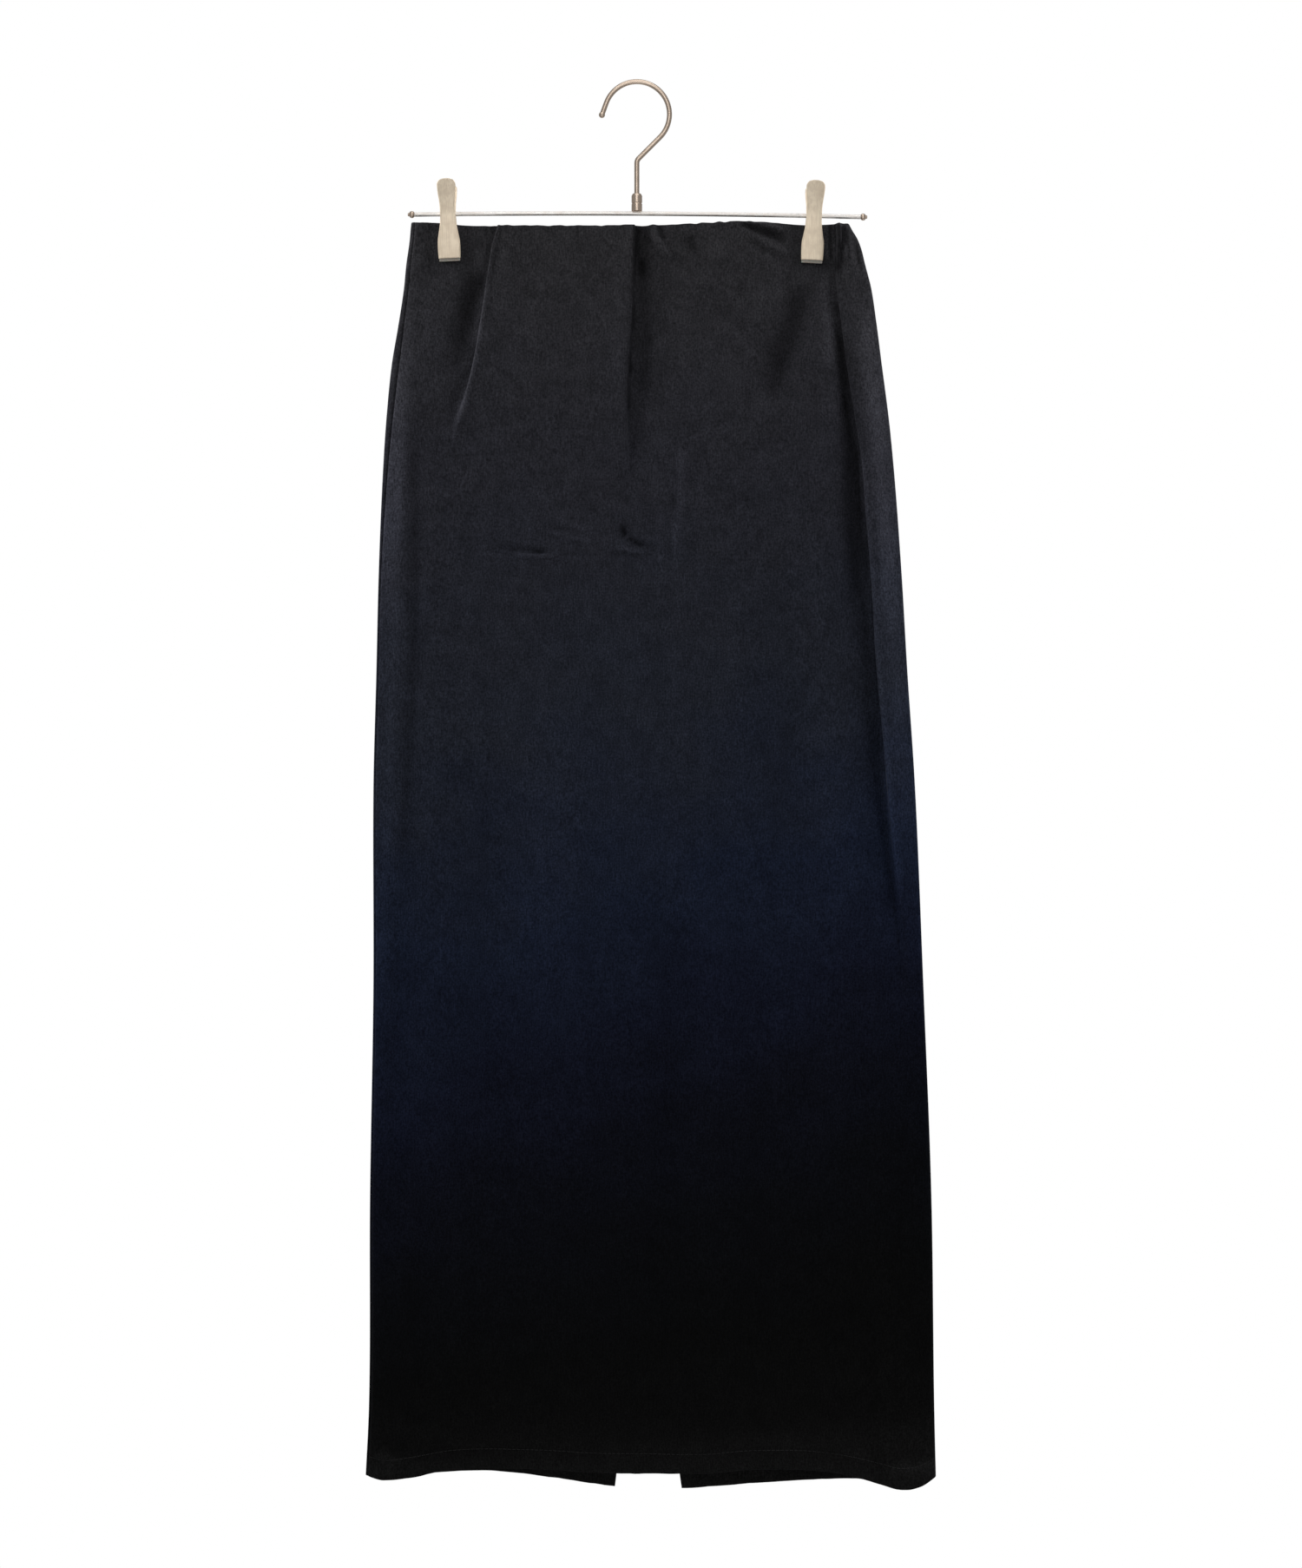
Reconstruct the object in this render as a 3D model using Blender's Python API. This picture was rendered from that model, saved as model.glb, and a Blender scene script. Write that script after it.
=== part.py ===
"""Long straight skirt with a gathered waist, hanging flat from a steel clip hanger.

Metres, +Z up.  The viewer stands at -Y, and +X is the viewer's right.  The origin is the top
of the inside of the hook, where a rail carries the hanger.  Tables are in millimetres, a row
for each height.  The cloth is one flattened tube, worked out section by section and cut into
a front and two back panels, whose walls are then given their thickness.
"""
import math
from collections import namedtuple

import bmesh
import bpy
from mathutils import Matrix, Vector

MM = 0.001

# ---------------------------------------------------------------- cloth, millimetres
CLOTH = 1.2             # wall of the panels
SEAM_GAP = 0.5          # between two panels, along the cloth
EDGE_ROUND = 1.6        # radius of the tube at its left and right edges
FOLD_ROUND = 0.9        # radius of a tuck's turn, at the middle of the wall
FOLD_LEAST = 1.5        # shortest run between a tuck's two turns
FOLD_DIP = 0.6          # share of a tuck's height that sinks in, beside it
FOLD_REACH = 16.0       # how far the cloth beside a tuck is lifted or sunk
BACK_SEAM_TOP = -3.0    # x of the centre-back seam at the waist
BACK_SEAM_HEM = 8.6     # and at the hem
SLIT_LENGTH = 250.0
SLIT_WIDTH = 50.0       # at the hem
SLIT_FLARE = 1.5        # above 1 the slit opens faster towards the hem
WAIST_BAND = 28.0       # height over which the waist's uneven top edge evens out
HEM_BAND = 60.0         # height over which the hem's uneven edge evens out

# Seen from the front: left and right edge of the tube, its depth front to back between the
# middles of its walls, and how far the left side seam lies in front of the left edge.
Outline = namedtuple("Outline", "z left right depth seam")
OUTLINE = (
    Outline(-104, -168.4, 158.5, 8.8, 2.6),
    Outline(-108, -168.9, 161.2, 8.9, 2.6),
    Outline(-114, -169.4, 164.8, 9.1, 2.7),
    Outline(-121, -170.2, 167.4, 9.4, 2.8),
    Outline(-134, -172.1, 170.6, 9.8, 3.0),
    Outline(-153, -174.0, 175.6, 10.6, 3.2),
    Outline(-179, -177.9, 179.6, 12.2, 3.9),
    Outline(-210, -183.1, 183.6, 14.0, 5.4),
    Outline(-249, -187.0, 188.7, 15.6, 4.6),
    Outline(-288, -189.6, 192.6, 16.4, 3.3),
    Outline(-366, -192.9, 198.4, 17.0, 1.4),
    Outline(-444, -194.8, 203.0, 17.0, 1.2),
    Outline(-522, -196.8, 208.2, 17.0, 1.2),
    Outline(-678, -196.9, 214.7, 16.6, 1.2),
    Outline(-834, -199.4, 220.5, 16.0, 1.2),
    Outline(-990, -200.2, 222.6, 15.0, 1.2),
    Outline(-1040, -202.6, 223.8, 14.4, 1.2),
)

# The edge of each tuck, how far the cloth goes under it, and the angle it turns through:
# 180 folds flat, 90 stands straight up, 0 is no tuck.
Tuck = namedtuple("Tuck", "z edge under turn")
LEFT_TUCK = (
    Tuck(-104, -103.9, 4.5, 150),
    Tuck(-120, -108.5, 5.5, 160),
    Tuck(-139, -114.2, 6.0, 165),
    Tuck(-176, -119.4, 5.0, 155),
    Tuck(-213, -126.6, 2.5, 120),
    Tuck(-241, -132.4, 1.5, 75),
    Tuck(-275, -140.0, 1.5, 0),
    Tuck(-500, -150.0, 1.5, 0),
    Tuck(-1040, -154.0, 1.5, 0),
)
CENTRE_TUCK = (
    Tuck(-104, -1.6, 8.0, 172),
    Tuck(-137, -2.4, 8.5, 172),
    Tuck(-168, -3.1, 7.0, 165),
    Tuck(-209, -5.7, 4.5, 145),
    Tuck(-250, -7.6, 2.5, 105),
    Tuck(-290, -8.3, 1.5, 60),
    Tuck(-345, -9.0, 1.5, 0),
    Tuck(-1040, 5.0, 1.5, 0),
)
RIGHT_PLEAT = (
    Tuck(-104, 149.5, 1.5, 70),
    Tuck(-122, 149.5, 2.0, 115),
    Tuck(-149, 149.5, 5.0, 160),
    Tuck(-178, 152.9, 9.0, 172),
    Tuck(-217, 158.1, 11.0, 172),
    Tuck(-250, 163.3, 12.0, 172),
    Tuck(-286, 168.5, 11.0, 172),
    Tuck(-320, 171.1, 10.0, 170),
    Tuck(-377, 175.7, 9.0, 168),
    Tuck(-456, 180.2, 8.0, 160),
    Tuck(-497, 184.8, 7.0, 150),
    Tuck(-546, 189.3, 5.0, 125),
    Tuck(-586, 193.2, 3.0, 90),
    Tuck(-640, 198.5, 1.5, 0),
    Tuck(-1040, 206.0, 1.5, 0),
)
# Left to right on the front; side +1 has its upper layer on the right, -1 on the left.
TUCKS = ((LEFT_TUCK, 1), (CENTRE_TUCK, -1), (RIGHT_PLEAT, 1))

# Top edge of the waist and bottom edges of the front and the back, left to right.
Edge = namedtuple("Edge", "x z")
WAIST_EDGE = (
    Edge(-169, -103.8), Edge(-150, -104.0), Edge(-128, -106.0), Edge(-60, -106.6),
    Edge(0, -106.4), Edge(40, -105.2), Edge(72, -103.6), Edge(98, -104.0),
    Edge(130, -105.8), Edge(152, -105.0), Edge(168, -107.0),
)
FRONT_HEM = (
    Edge(-203, -1041), Edge(-188, -1044), Edge(-170, -1042), Edge(-138, -1035.5),
    Edge(-82, -1035), Edge(-10, -1038.5), Edge(50, -1038.5), Edge(90, -1035.5),
    Edge(130, -1036), Edge(163, -1041), Edge(182, -1047), Edge(198, -1051), Edge(212, -1049),
    Edge(224, -1042),
)
BACK_HEM = (
    Edge(-203, -1041), Edge(-188, -1044), Edge(-160, -1041.5), Edge(-117, -1039.5),
    Edge(-60, -1045), Edge(-18, -1051), Edge(34, -1052.5), Edge(85, -1049), Edge(137, -1046),
    Edge(163, -1045.5), Edge(182, -1049), Edge(198, -1051.5), Edge(212, -1049),
    Edge(224, -1042),
)

HEM_LEVEL = -1040.0     # the last row of the tables
SECTION_HEIGHTS = (
    -104, -108, -114, -121, -128, -136, -146, -160, -180, -206, -238, -276, -325,
    -390, -470, -540, -600, -660, -790, -850, -930, -990, -1018, HEM_LEVEL,
)
LEFT_STEPS = 10         # steps along the front from the left side seam to the first tuck
RIGHT_STEPS = 6         # and from the pleat to the right edge
TURN_STEPS = 5          # steps round each turn of a tuck
WRAP_STEPS = 2          # steps of the back panel round the left edge, in front
# Places of the points between two tucks, as shares of the way, and those of a back panel
# from its side seam.  They are closer beside the clips and at the round edges.
BETWEEN_TUCKS = ((0.2, 0.4, 0.6, 0.8), (0.18, 0.36, 0.54, 0.7, 0.79, 0.86, 0.93))
ACROSS_BACK = (
    0, 0.004, 0.016, 0.045, 0.085, 0.135, 0.19, 0.25, 0.31, 0.42, 0.56, 0.7, 0.85, 1,
)

# ---------------------------------------------------------------- hanger, millimetres
FIT = 0.3               # gap between pieces that touch
WIRE = 3.8              # hook wire, diameter
HOOK_RADIUS = 24.4      # of the bow, at the middle of the wire
HOOK_LEFT = 184.0       # the bow starts at this angle, at its tip
HOOK_RIGHT = -45.0      # and leaves for the stem at this one
HOOK_BEND = 5.0         # radius between the slant and the stem
BALL = 4.7              # ball on the hook's tip, diameter
FERRULE_TOP = -82.0
FERRULE = 8.0           # diameter
FERRULE_CHAMFER = 1.6
FERRULE_GROOVE = -89.2  # height of its ring groove
GROOVE = 0.5            # depth and half height of the groove
SOCKET = 5.0            # depth of the wire's socket in the ferrule
BAR = 3.3               # diameter
BAR_LEVEL = -96.9       # height of the bar's middle under the hook
BAR_SAG = 1.6           # how much both ends hang below that
BAR_TILT = 0.9          # and how much lower the right end is
BAR_HALF = 167.0        # half its length, without the caps
CAP = 5.2               # end cap, diameter
CAP_LENGTH = 3.6
NUB = 2.6               # small nub on the cap, diameter
NUB_LENGTH = 1.3
HANGER_X = 0.5          # the bar's middle, from the hook's axis

STEEL = 1.0             # jaw plates
PAD = 1.0               # pad under each jaw's lip
PAD_BELOW = 2.2         # how far a pad shows below the jaw
PAD_HEIGHT = 11.0
PAD_WIDTH = 15.6
EAR_RADIUS = 3.5
EAR_BORE = 4.6
EAR = 1.0               # thickness
EAR_OUTER = 5.6         # outer face of the front jaw's ears, from the clip's middle
SPRING = 8.0            # coil diameter
SPRING_TURNS = 4
SPRING_WIRE = 1.2
SPRING_BORE = 4.3

# Jaw plate, from the bar: height, half width, and distance of its middle from the cloth's
# middle plane.  The last row is the lip that holds the cloth.
Jaw = namedtuple("Jaw", "z half out")
JAW = (
    Jaw(24.6, 2.6, 11.4), Jaw(24.0, 4.6, 11.2), Jaw(22.6, 6.2, 10.7), Jaw(20.4, 7.0, 10.0),
    Jaw(15.0, 6.7, 8.3), Jaw(8.0, 5.9, 6.3), Jaw(0.0, 5.7, 4.9), Jaw(-8.0, 6.2, 4.7),
    Jaw(-15.0, 7.4, 4.5), Jaw(-22.0, 8.4, 4.2), Jaw(-27.0, 8.4, 4.05), Jaw(-33.6, 8.1, 3.85),
)
JAW_COLUMNS = 6
JAW_CROWN = 0.35        # how far the plate's edges bend in
Clip = namedtuple("Clip", "name x tilt outward")
CLIPS = (Clip("left", -141.4, 2.4, -1), Clip("right", 132.6, -2.8, 1))
PINCH_FULL = 12.0       # the cloth is flat this far from a clip's middle
PINCH_OUT = 24.0        # and free again this far from it, towards the side
PINCH_IN = 50.0         # or towards the middle
PINCH_LOW = -134.0      # height where the grip ends
PINCH_END = -195.0      # height where its effect ends

BLACK = (0.012, 0.012, 0.014)
NICKEL = (0.56, 0.52, 0.45)
CLEAR_GREY = (0.42, 0.40, 0.36)


# ---------------------------------------------------------------- small mathematics
def smooth_at(rows, where, column, key="z"):
    """A column of a table at any height, on a smooth curve through its rows."""
    rows = sorted(rows, key=lambda row: getattr(row, key))
    xs = [getattr(row, key) for row in rows]
    ys = [getattr(row, column) for row in rows]
    where = min(max(where, xs[0]), xs[-1])
    last = len(xs) - 2
    i = min(sum(1 for x in xs[1:] if x <= where), last)
    width = xs[i + 1] - xs[i]
    slope = (ys[i + 1] - ys[i]) / width
    before = (ys[i] - ys[i - 1]) / (xs[i] - xs[i - 1]) if i > 0 else slope
    after = (ys[i + 2] - ys[i + 1]) / (xs[i + 2] - xs[i + 1]) if i < last else slope
    start = 0.5 * (before + slope) if before * slope > 0 else 0.0
    end = 0.5 * (after + slope) if after * slope > 0 else 0.0
    t = (where - xs[i]) / width
    return (
        ys[i] * (1 + 2 * t) * (1 - t) ** 2
        + ys[i + 1] * t * t * (3 - 2 * t)
        + start * width * t * (1 - t) ** 2
        - end * width * t * t * (1 - t)
    )


def ease(value, zero, one):
    """0 at `zero`, 1 at `one`, with soft ends."""
    t = min(max((value - zero) / (one - zero), 0.0), 1.0)
    return t * t * (3 - 2 * t)


# ---------------------------------------------------------------- cloth sections
def grip(x, z):
    """1 where a clip holds front and back together, 0 where the cloth hangs free."""
    held = 0.0
    for clip in CLIPS:
        away = (x - clip.x) * clip.outward
        reach = PINCH_OUT if away > 0 else PINCH_IN
        held = max(held, ease(abs(away), reach, PINCH_FULL))
    return held * ease(z, PINCH_END, PINCH_LOW)


def half_depth(x, z):
    """Distance of a plain wall's middle from the tube's middle plane."""
    left = smooth_at(OUTLINE, z, "left")
    right = smooth_at(OUTLINE, z, "right")
    half = (right - left) / 2
    across = min(abs((x - left) / half - 1), 1.0)
    deep = smooth_at(OUTLINE, z, "depth") / 2
    power = 2 * half * EDGE_ROUND / deep ** 2
    free = deep * math.sqrt(1 - across ** power)
    held = grip(x, z)
    closed = CLOTH / 2 + FIT / 2
    return free * (1 - held) + closed * held


def tuck_curve(rows, side, z):
    """Points of a tuck at a height, x and lift, from left to right along the cloth."""
    turn = math.radians(smooth_at(rows, z, "turn"))
    under = max(smooth_at(rows, z, "under"), FOLD_LEAST)
    step = math.pi * FOLD_ROUND / TURN_STEPS
    angles = [turn * (i + 0.5) / TURN_STEPS for i in range(TURN_STEPS)]
    steps = [(angle, step) for angle in angles]
    steps.append((turn, under))
    steps.extend((angle, step) for angle in reversed(angles))
    points = [(0.0, 0.0)]
    for angle, length in steps:
        x, lift = points[-1]
        points.append((x + length * math.cos(angle), lift + length * math.sin(angle)))
    fold_edge = min(x for x, lift in points[TURN_STEPS + 1:])
    edge = smooth_at(rows, z, "edge")
    if side > 0:
        return [(x - fold_edge + edge, lift) for x, lift in points]
    return [(fold_edge - x + edge, lift) for x, lift in reversed(points)]


def front_section(z):
    """The front, from the left side seam to the right edge, as x and y."""
    left = smooth_at(OUTLINE, z, "left")
    right = smooth_at(OUTLINE, z, "right")
    start = left + smooth_at(OUTLINE, z, "seam")
    curves = [tuck_curve(rows, side, z) for rows, side in TUCKS]
    offsets = []
    for curve in curves:
        sink = FOLD_DIP * max(lift for x, lift in curve)
        offsets.append([sink * (1 - grip(x, z)) - lift for x, lift in curve])

    def plain(x, passed):
        """A point to the right of `passed` tucks, lifted or sunk by the ones on both sides."""
        total = 0.0
        for k, (curve, offset) in enumerate(zip(curves, offsets)):
            if k < passed:
                away, amount = x - curve[-1][0], offset[-1]
                room = right - curve[-1][0]
            else:
                away, amount = curve[0][0] - x, offset[0]
                room = curve[0][0] - start
            total += amount * math.exp(-away / FOLD_REACH) * max(1 - away / room, 0.0)
        return x, -half_depth(x, z) + total * (1 - grip(x, z))

    points = []
    span = curves[0][0][0] - left
    first = math.acos(1 - (start - left) / span)
    for i in range(LEFT_STEPS):
        angle = first + (math.pi / 2 - first) * i / LEFT_STEPS
        points.append(plain(left + span * (1 - math.cos(angle)), 0))
    for k, (curve, offset) in enumerate(zip(curves, offsets)):
        for (x, lift), shift in zip(curve, offset):
            points.append((x, -half_depth(x, z) + shift))
        if k + 1 < len(curves):
            begin, end = curve[-1][0], curves[k + 1][0][0]
            for share in BETWEEN_TUCKS[k]:
                points.append(plain(begin + (end - begin) * share, k + 1))
    span = right - curves[-1][-1][0]
    for i in range(1, RIGHT_STEPS + 1):
        x = right - span * (1 - math.cos(math.pi / 2 * (1 - i / RIGHT_STEPS)))
        points.append(plain(x, len(curves)))
    return points


def back_edge(z, side):
    """x of a back panel's inner edge: the centre-back seam, then the slit."""
    share = (SECTION_HEIGHTS[0] - z) / (SECTION_HEIGHTS[0] - HEM_LEVEL)
    seam = BACK_SEAM_TOP + (BACK_SEAM_HEM - BACK_SEAM_TOP) * share
    opened = max((HEM_LEVEL + SLIT_LENGTH - z) / SLIT_LENGTH, 0.0)
    return seam + side * SLIT_WIDTH / 2 * opened ** SLIT_FLARE


def back_section(z, side):
    """A back panel, from its side seam to its inner edge; side -1 is the left one."""
    name = "left" if side < 0 else "right"
    edge = smooth_at(OUTLINE, z, name)
    span = abs(back_edge(z, side) - edge)
    points = []
    if side < 0:
        seam = smooth_at(OUTLINE, z, "seam")
        for i in range(WRAP_STEPS):
            x = edge + seam * (1 - i / WRAP_STEPS) ** 2
            points.append((x, -half_depth(x, z)))
    for share in ACROSS_BACK:
        x = edge - side * span * share
        points.append((x, half_depth(x, z)))
    return points


def wall_section(points, before, after):
    """Both faces of a wall along a section, outer then inner, cut back at its ends.

    `before` and `after` are the points where the neighbouring panels go on.
    """
    line = [Vector(point) for point in (before, *points, after)]
    faces = []
    for i in range(1, len(line) - 1):
        along = (line[i + 1] - line[i - 1]).normalized()
        middle = line[i].copy()
        if i == 1:
            middle += along * SEAM_GAP / 2
        if i == len(line) - 2:
            middle -= along * SEAM_GAP / 2
        outward = Vector((along.y, -along.x)) * CLOTH / 2
        faces.append((middle + outward, middle - outward))
    return faces


def front_wall(z):
    """Both faces of the front at a height."""
    points = front_section(z)
    wrap = back_section(z, -1)[1]
    x, y = points[-2]
    return wall_section(points, wrap, (x, -y))


def back_wall(z, side):
    """Both faces of a back panel at a height, going round the tube as the front does."""
    points = back_section(z, side)
    inner = (2 * points[-1][0] - points[-2][0], points[-1][1])
    if side < 0:
        return wall_section(points[::-1], inner, front_section(z)[1])
    x, y = points[1]
    return wall_section(points, (x, -y), inner)


def panel(section, hem):
    """Both faces of a panel as rows of points, with its uneven waist and hem."""
    rows = []
    for z in SECTION_HEIGHTS:
        row = []
        for pair in section(z):
            x = (pair[0].x + pair[1].x) / 2
            waist = smooth_at(WAIST_EDGE, x, "z", "x") - SECTION_HEIGHTS[0]
            low = smooth_at(hem, x, "z", "x") - HEM_LEVEL
            near_waist = ease(z, SECTION_HEIGHTS[0] - WAIST_BAND, SECTION_HEIGHTS[0])
            near_hem = ease(z, HEM_LEVEL + HEM_BAND, HEM_LEVEL)
            level = z + waist * near_waist + low * near_hem
            row.append([Vector((point.x, point.y, level)) * MM for point in pair])
        rows.append(row)
    return rows


# ---------------------------------------------------------------- meshes
def wall(rows):
    """A closed wall from rows of pairs of points, one on each of its faces."""
    last_row, last_column = len(rows) - 1, len(rows[0]) - 1
    mesh = bmesh.new()
    corners = [[[mesh.verts.new(point) for point in pair] for pair in row] for row in rows]

    def corner(layer, i, j):
        return corners[i][j][layer]

    for i in range(last_row):
        for j in range(last_column):
            square = ((i, j), (i, j + 1), (i + 1, j + 1), (i + 1, j))
            mesh.faces.new([corner(0, *place) for place in square])
            mesh.faces.new([corner(1, *place) for place in reversed(square)])
    rim = [(0, j) for j in range(last_column)]
    rim += [(i, last_column) for i in range(last_row)]
    rim += [(last_row, j) for j in range(last_column, 0, -1)]
    rim += [(i, 0) for i in range(last_row, 0, -1)]
    for here, after in zip(rim, rim[1:] + rim[:1]):
        mesh.faces.new((
            corner(0, *here), corner(1, *here), corner(1, *after), corner(0, *after),
        ))
    bmesh.ops.recalc_face_normals(mesh, faces=mesh.faces)
    return mesh


def tube(path, radii, sides):
    """A closed round tube along points in the XZ plane, with a radius at each point."""
    mesh = bmesh.new()
    rings = []
    for i, (point, radius) in enumerate(zip(path, radii)):
        ahead = path[min(i + 1, len(path) - 1)] - path[max(i - 1, 0)]
        sideways = Vector((ahead.z, 0, -ahead.x)).normalized()
        ring = []
        for k in range(sides):
            angle = 2 * math.pi * (k + 0.5) / sides
            offset = sideways * math.cos(angle) + Vector((0, 1, 0)) * math.sin(angle)
            ring.append(mesh.verts.new((point + offset * radius) * MM))
        rings.append(ring)
    for ring, after in zip(rings, rings[1:]):
        for k in range(sides):
            other = (k + 1) % sides
            mesh.faces.new((ring[k], ring[other], after[other], after[k]))
    mesh.faces.new(rings[0])
    mesh.faces.new(rings[-1])
    bmesh.ops.recalc_face_normals(mesh, faces=mesh.faces)
    return mesh


def turned(profile, sides, closed=False):
    """A solid turned round Z from (radius, z) points; open profiles end on the axis."""
    mesh = bmesh.new()
    points = [mesh.verts.new((radius * MM, 0, z * MM)) for radius, z in profile]
    pairs = list(zip(points, points[1:]))
    if closed:
        pairs.append((points[-1], points[0]))
    edges = [mesh.edges.new(pair) for pair in pairs]
    bmesh.ops.spin(
        mesh, geom=points + edges, cent=(0, 0, 0), axis=(0, 0, 1),
        angle=2 * math.pi, steps=sides, use_merge=True,
    )
    bmesh.ops.remove_doubles(mesh, verts=mesh.verts, dist=0.01 * MM)
    bmesh.ops.recalc_face_normals(mesh, faces=mesh.faces)
    return mesh


def material(name, colour, roughness, metallic):
    found = bpy.data.materials.new(name)
    found.use_nodes = True
    shader = found.node_tree.nodes["Principled BSDF"]
    shader.inputs["Base Color"].default_value = (*colour, 1)
    shader.inputs["Roughness"].default_value = roughness
    shader.inputs["Metallic"].default_value = metallic
    found.diffuse_color = (*colour, 1)
    return found


def solid(name, mesh, look, place=None):
    """A named object from a bmesh, at a place given as a matrix."""
    data = bpy.data.meshes.new(name)
    mesh.to_mesh(data)
    mesh.free()
    data.materials.append(look)
    data.shade_smooth()
    data.set_sharp_from_angle(angle=math.radians(40))
    made = bpy.data.objects.new(name, data)
    bpy.context.scene.collection.objects.link(made)
    if place is not None:
        made.matrix_world = place
    return made


# ---------------------------------------------------------------- skirt
def make_skirt(cloth):
    solid("front_panel", wall(panel(front_wall, FRONT_HEM)), cloth)
    for name, side in (("left", -1), ("right", 1)):
        back = panel(lambda z: back_wall(z, side), BACK_HEM)
        solid("back_panel_" + name, wall(back), cloth)


# ---------------------------------------------------------------- hanger
def bar_height(x):
    """Height of the bar's middle at x, on its slight bow."""
    share = (x - HANGER_X) / BAR_HALF
    return BAR_LEVEL - BAR_SAG * share ** 2 - BAR_TILT * share


def hook_path():
    """Middle of the hook's wire, from the tip over the bow and down the stem."""
    centre = Vector((0, 0, WIRE / 2 - HOOK_RADIUS))
    path = []
    steps = 22
    for i in range(steps + 1):
        angle = math.radians(HOOK_LEFT + (HOOK_RIGHT - HOOK_LEFT) * i / steps)
        path.append(centre + Vector((math.cos(angle), 0, math.sin(angle))) * HOOK_RADIUS)
    slant = Vector((math.sin(angle), 0, -math.cos(angle)))
    corner = path[-1] + slant * (path[-1].x / -slant.x)
    reach = HOOK_BEND * math.tan(math.acos(-slant.z) / 2)
    bend_centre = corner + Vector((HOOK_BEND, 0, -reach))
    steps = 4
    for i in range(steps + 1):
        turn = math.acos(-slant.z) * (1 - i / steps)
        away = Vector((-math.cos(turn), 0, math.sin(turn)))
        path.append(bend_centre + away * HOOK_BEND)
    path.append(Vector((0, 0, FERRULE_TOP - SOCKET + FIT)))
    return path


def make_hook(steel):
    """The bent wire with its ball tip."""
    path = hook_path()
    forward = (path[0] - path[1]).normalized()
    ball = []
    steps = 4
    for i in range(steps):
        angle = math.radians(20 + 35 * i)
        behind = forward * BALL / 2 * math.cos(angle)
        ball.append((path[0] + behind, BALL / 2 * math.sin(angle)))
    radii = [radius for point, radius in ball] + [WIRE / 2] * (len(path) - 1)
    solid("hook", tube([point for point, radius in ball] + path[1:], radii, 12), steel)


def make_ferrule(steel):
    """The turned ferrule that the hook swivels in, on top of the bar."""
    radius = FERRULE / 2
    bore = WIRE / 2 + FIT
    bottom = bar_height(0) + BAR / 2 + FIT
    profile = (
        (0, FERRULE_TOP - SOCKET), (bore, FERRULE_TOP - SOCKET), (bore, FERRULE_TOP),
        (radius - FERRULE_CHAMFER / 2, FERRULE_TOP), (radius, FERRULE_TOP - FERRULE_CHAMFER),
        (radius, FERRULE_GROOVE + GROOVE), (radius - GROOVE, FERRULE_GROOVE),
        (radius, FERRULE_GROOVE - GROOVE), (radius, bottom), (0, bottom),
    )
    solid("ferrule", turned(profile, 24), steel)


def make_bar(steel):
    """The bar on its slight bow, and a cap with a nub at each end."""
    steps = 16
    places = [HANGER_X + BAR_HALF * (2 * i / steps - 1) for i in range(steps + 1)]
    path = [Vector((x, 0, bar_height(x))) for x in places]
    solid("bar", tube(path, [BAR / 2] * len(path), 12), steel)
    bevel = CAP * 0.15
    profile = (
        (0, 0), (CAP / 2 - bevel, 0), (CAP / 2, bevel), (CAP / 2, CAP_LENGTH - bevel),
        (CAP / 2 - bevel, CAP_LENGTH), (NUB / 2, CAP_LENGTH),
        (NUB / 2, CAP_LENGTH + NUB_LENGTH * 0.6), (0, CAP_LENGTH + NUB_LENGTH),
    )
    for name, side, end, inner in (("left", -1, 0, 1), ("right", 1, -1, -2)):
        outward = (path[end] - path[inner]).normalized()
        seat = path[end] + outward * FIT
        turn = Vector((0, 0, 1)).rotation_difference(outward).to_matrix().to_4x4()
        place = Matrix.Translation(seat * MM) @ turn
        solid("bar_cap_" + name, turned(profile, 16), steel, place)


def jaw_plate():
    """Both faces of a front jaw's plate, top to bottom, from the bar's middle."""
    rows = []
    for row in JAW:
        line = []
        for j in range(JAW_COLUMNS + 1):
            across = 2 * j / JAW_COLUMNS - 1
            middle = JAW_CROWN * across ** 2 - row.out
            line.append([
                Vector((row.half * across, middle + face * STEEL / 2, row.z)) * MM
                for face in (-1, 1)
            ])
        rows.append(line)
    return rows


def ear(middle, facing):
    """A jaw's ear: a plate across the bar with a bore, reaching to the jaw."""
    mesh = bmesh.new()
    reach = next(row.out for row in JAW if row.z == 0)
    steps = 24
    rings = []
    for x in (middle - EAR / 2, middle + EAR / 2):
        inner, outer = [], []
        for k in range(steps):
            angle = 2 * math.pi * k / steps
            out, up = math.cos(angle), math.sin(angle)
            length = EAR_RADIUS
            if out > 0:
                length = min(reach / out, EAR_RADIUS / max(abs(up), 0.001))
            point = Vector((x, facing * out * EAR_BORE / 2, up * EAR_BORE / 2))
            inner.append(mesh.verts.new(point * MM))
            point = Vector((x, facing * out * length, up * length))
            outer.append(mesh.verts.new(point * MM))
        rings.append((inner, outer))
    (near_in, near_out), (far_in, far_out) = rings
    for k in range(steps):
        j = (k + 1) % steps
        mesh.faces.new((near_in[k], near_in[j], near_out[j], near_out[k]))
        mesh.faces.new((far_out[k], far_out[j], far_in[j], far_in[k]))
        mesh.faces.new((near_out[k], near_out[j], far_out[j], far_out[k]))
        mesh.faces.new((far_in[k], far_in[j], near_in[j], near_in[k]))
    bmesh.ops.recalc_face_normals(mesh, faces=mesh.faces)
    return mesh


def joined(base, extra):
    """Unite a solid with others, which then only guide its Boolean modifiers."""
    for guide in extra:
        guide.hide_render = True
        guide.display_type = "WIRE"
        unite = base.modifiers.new("unite_" + guide.name, "BOOLEAN")
        unite.operation = "UNION"
        unite.object = guide
    return base


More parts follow.
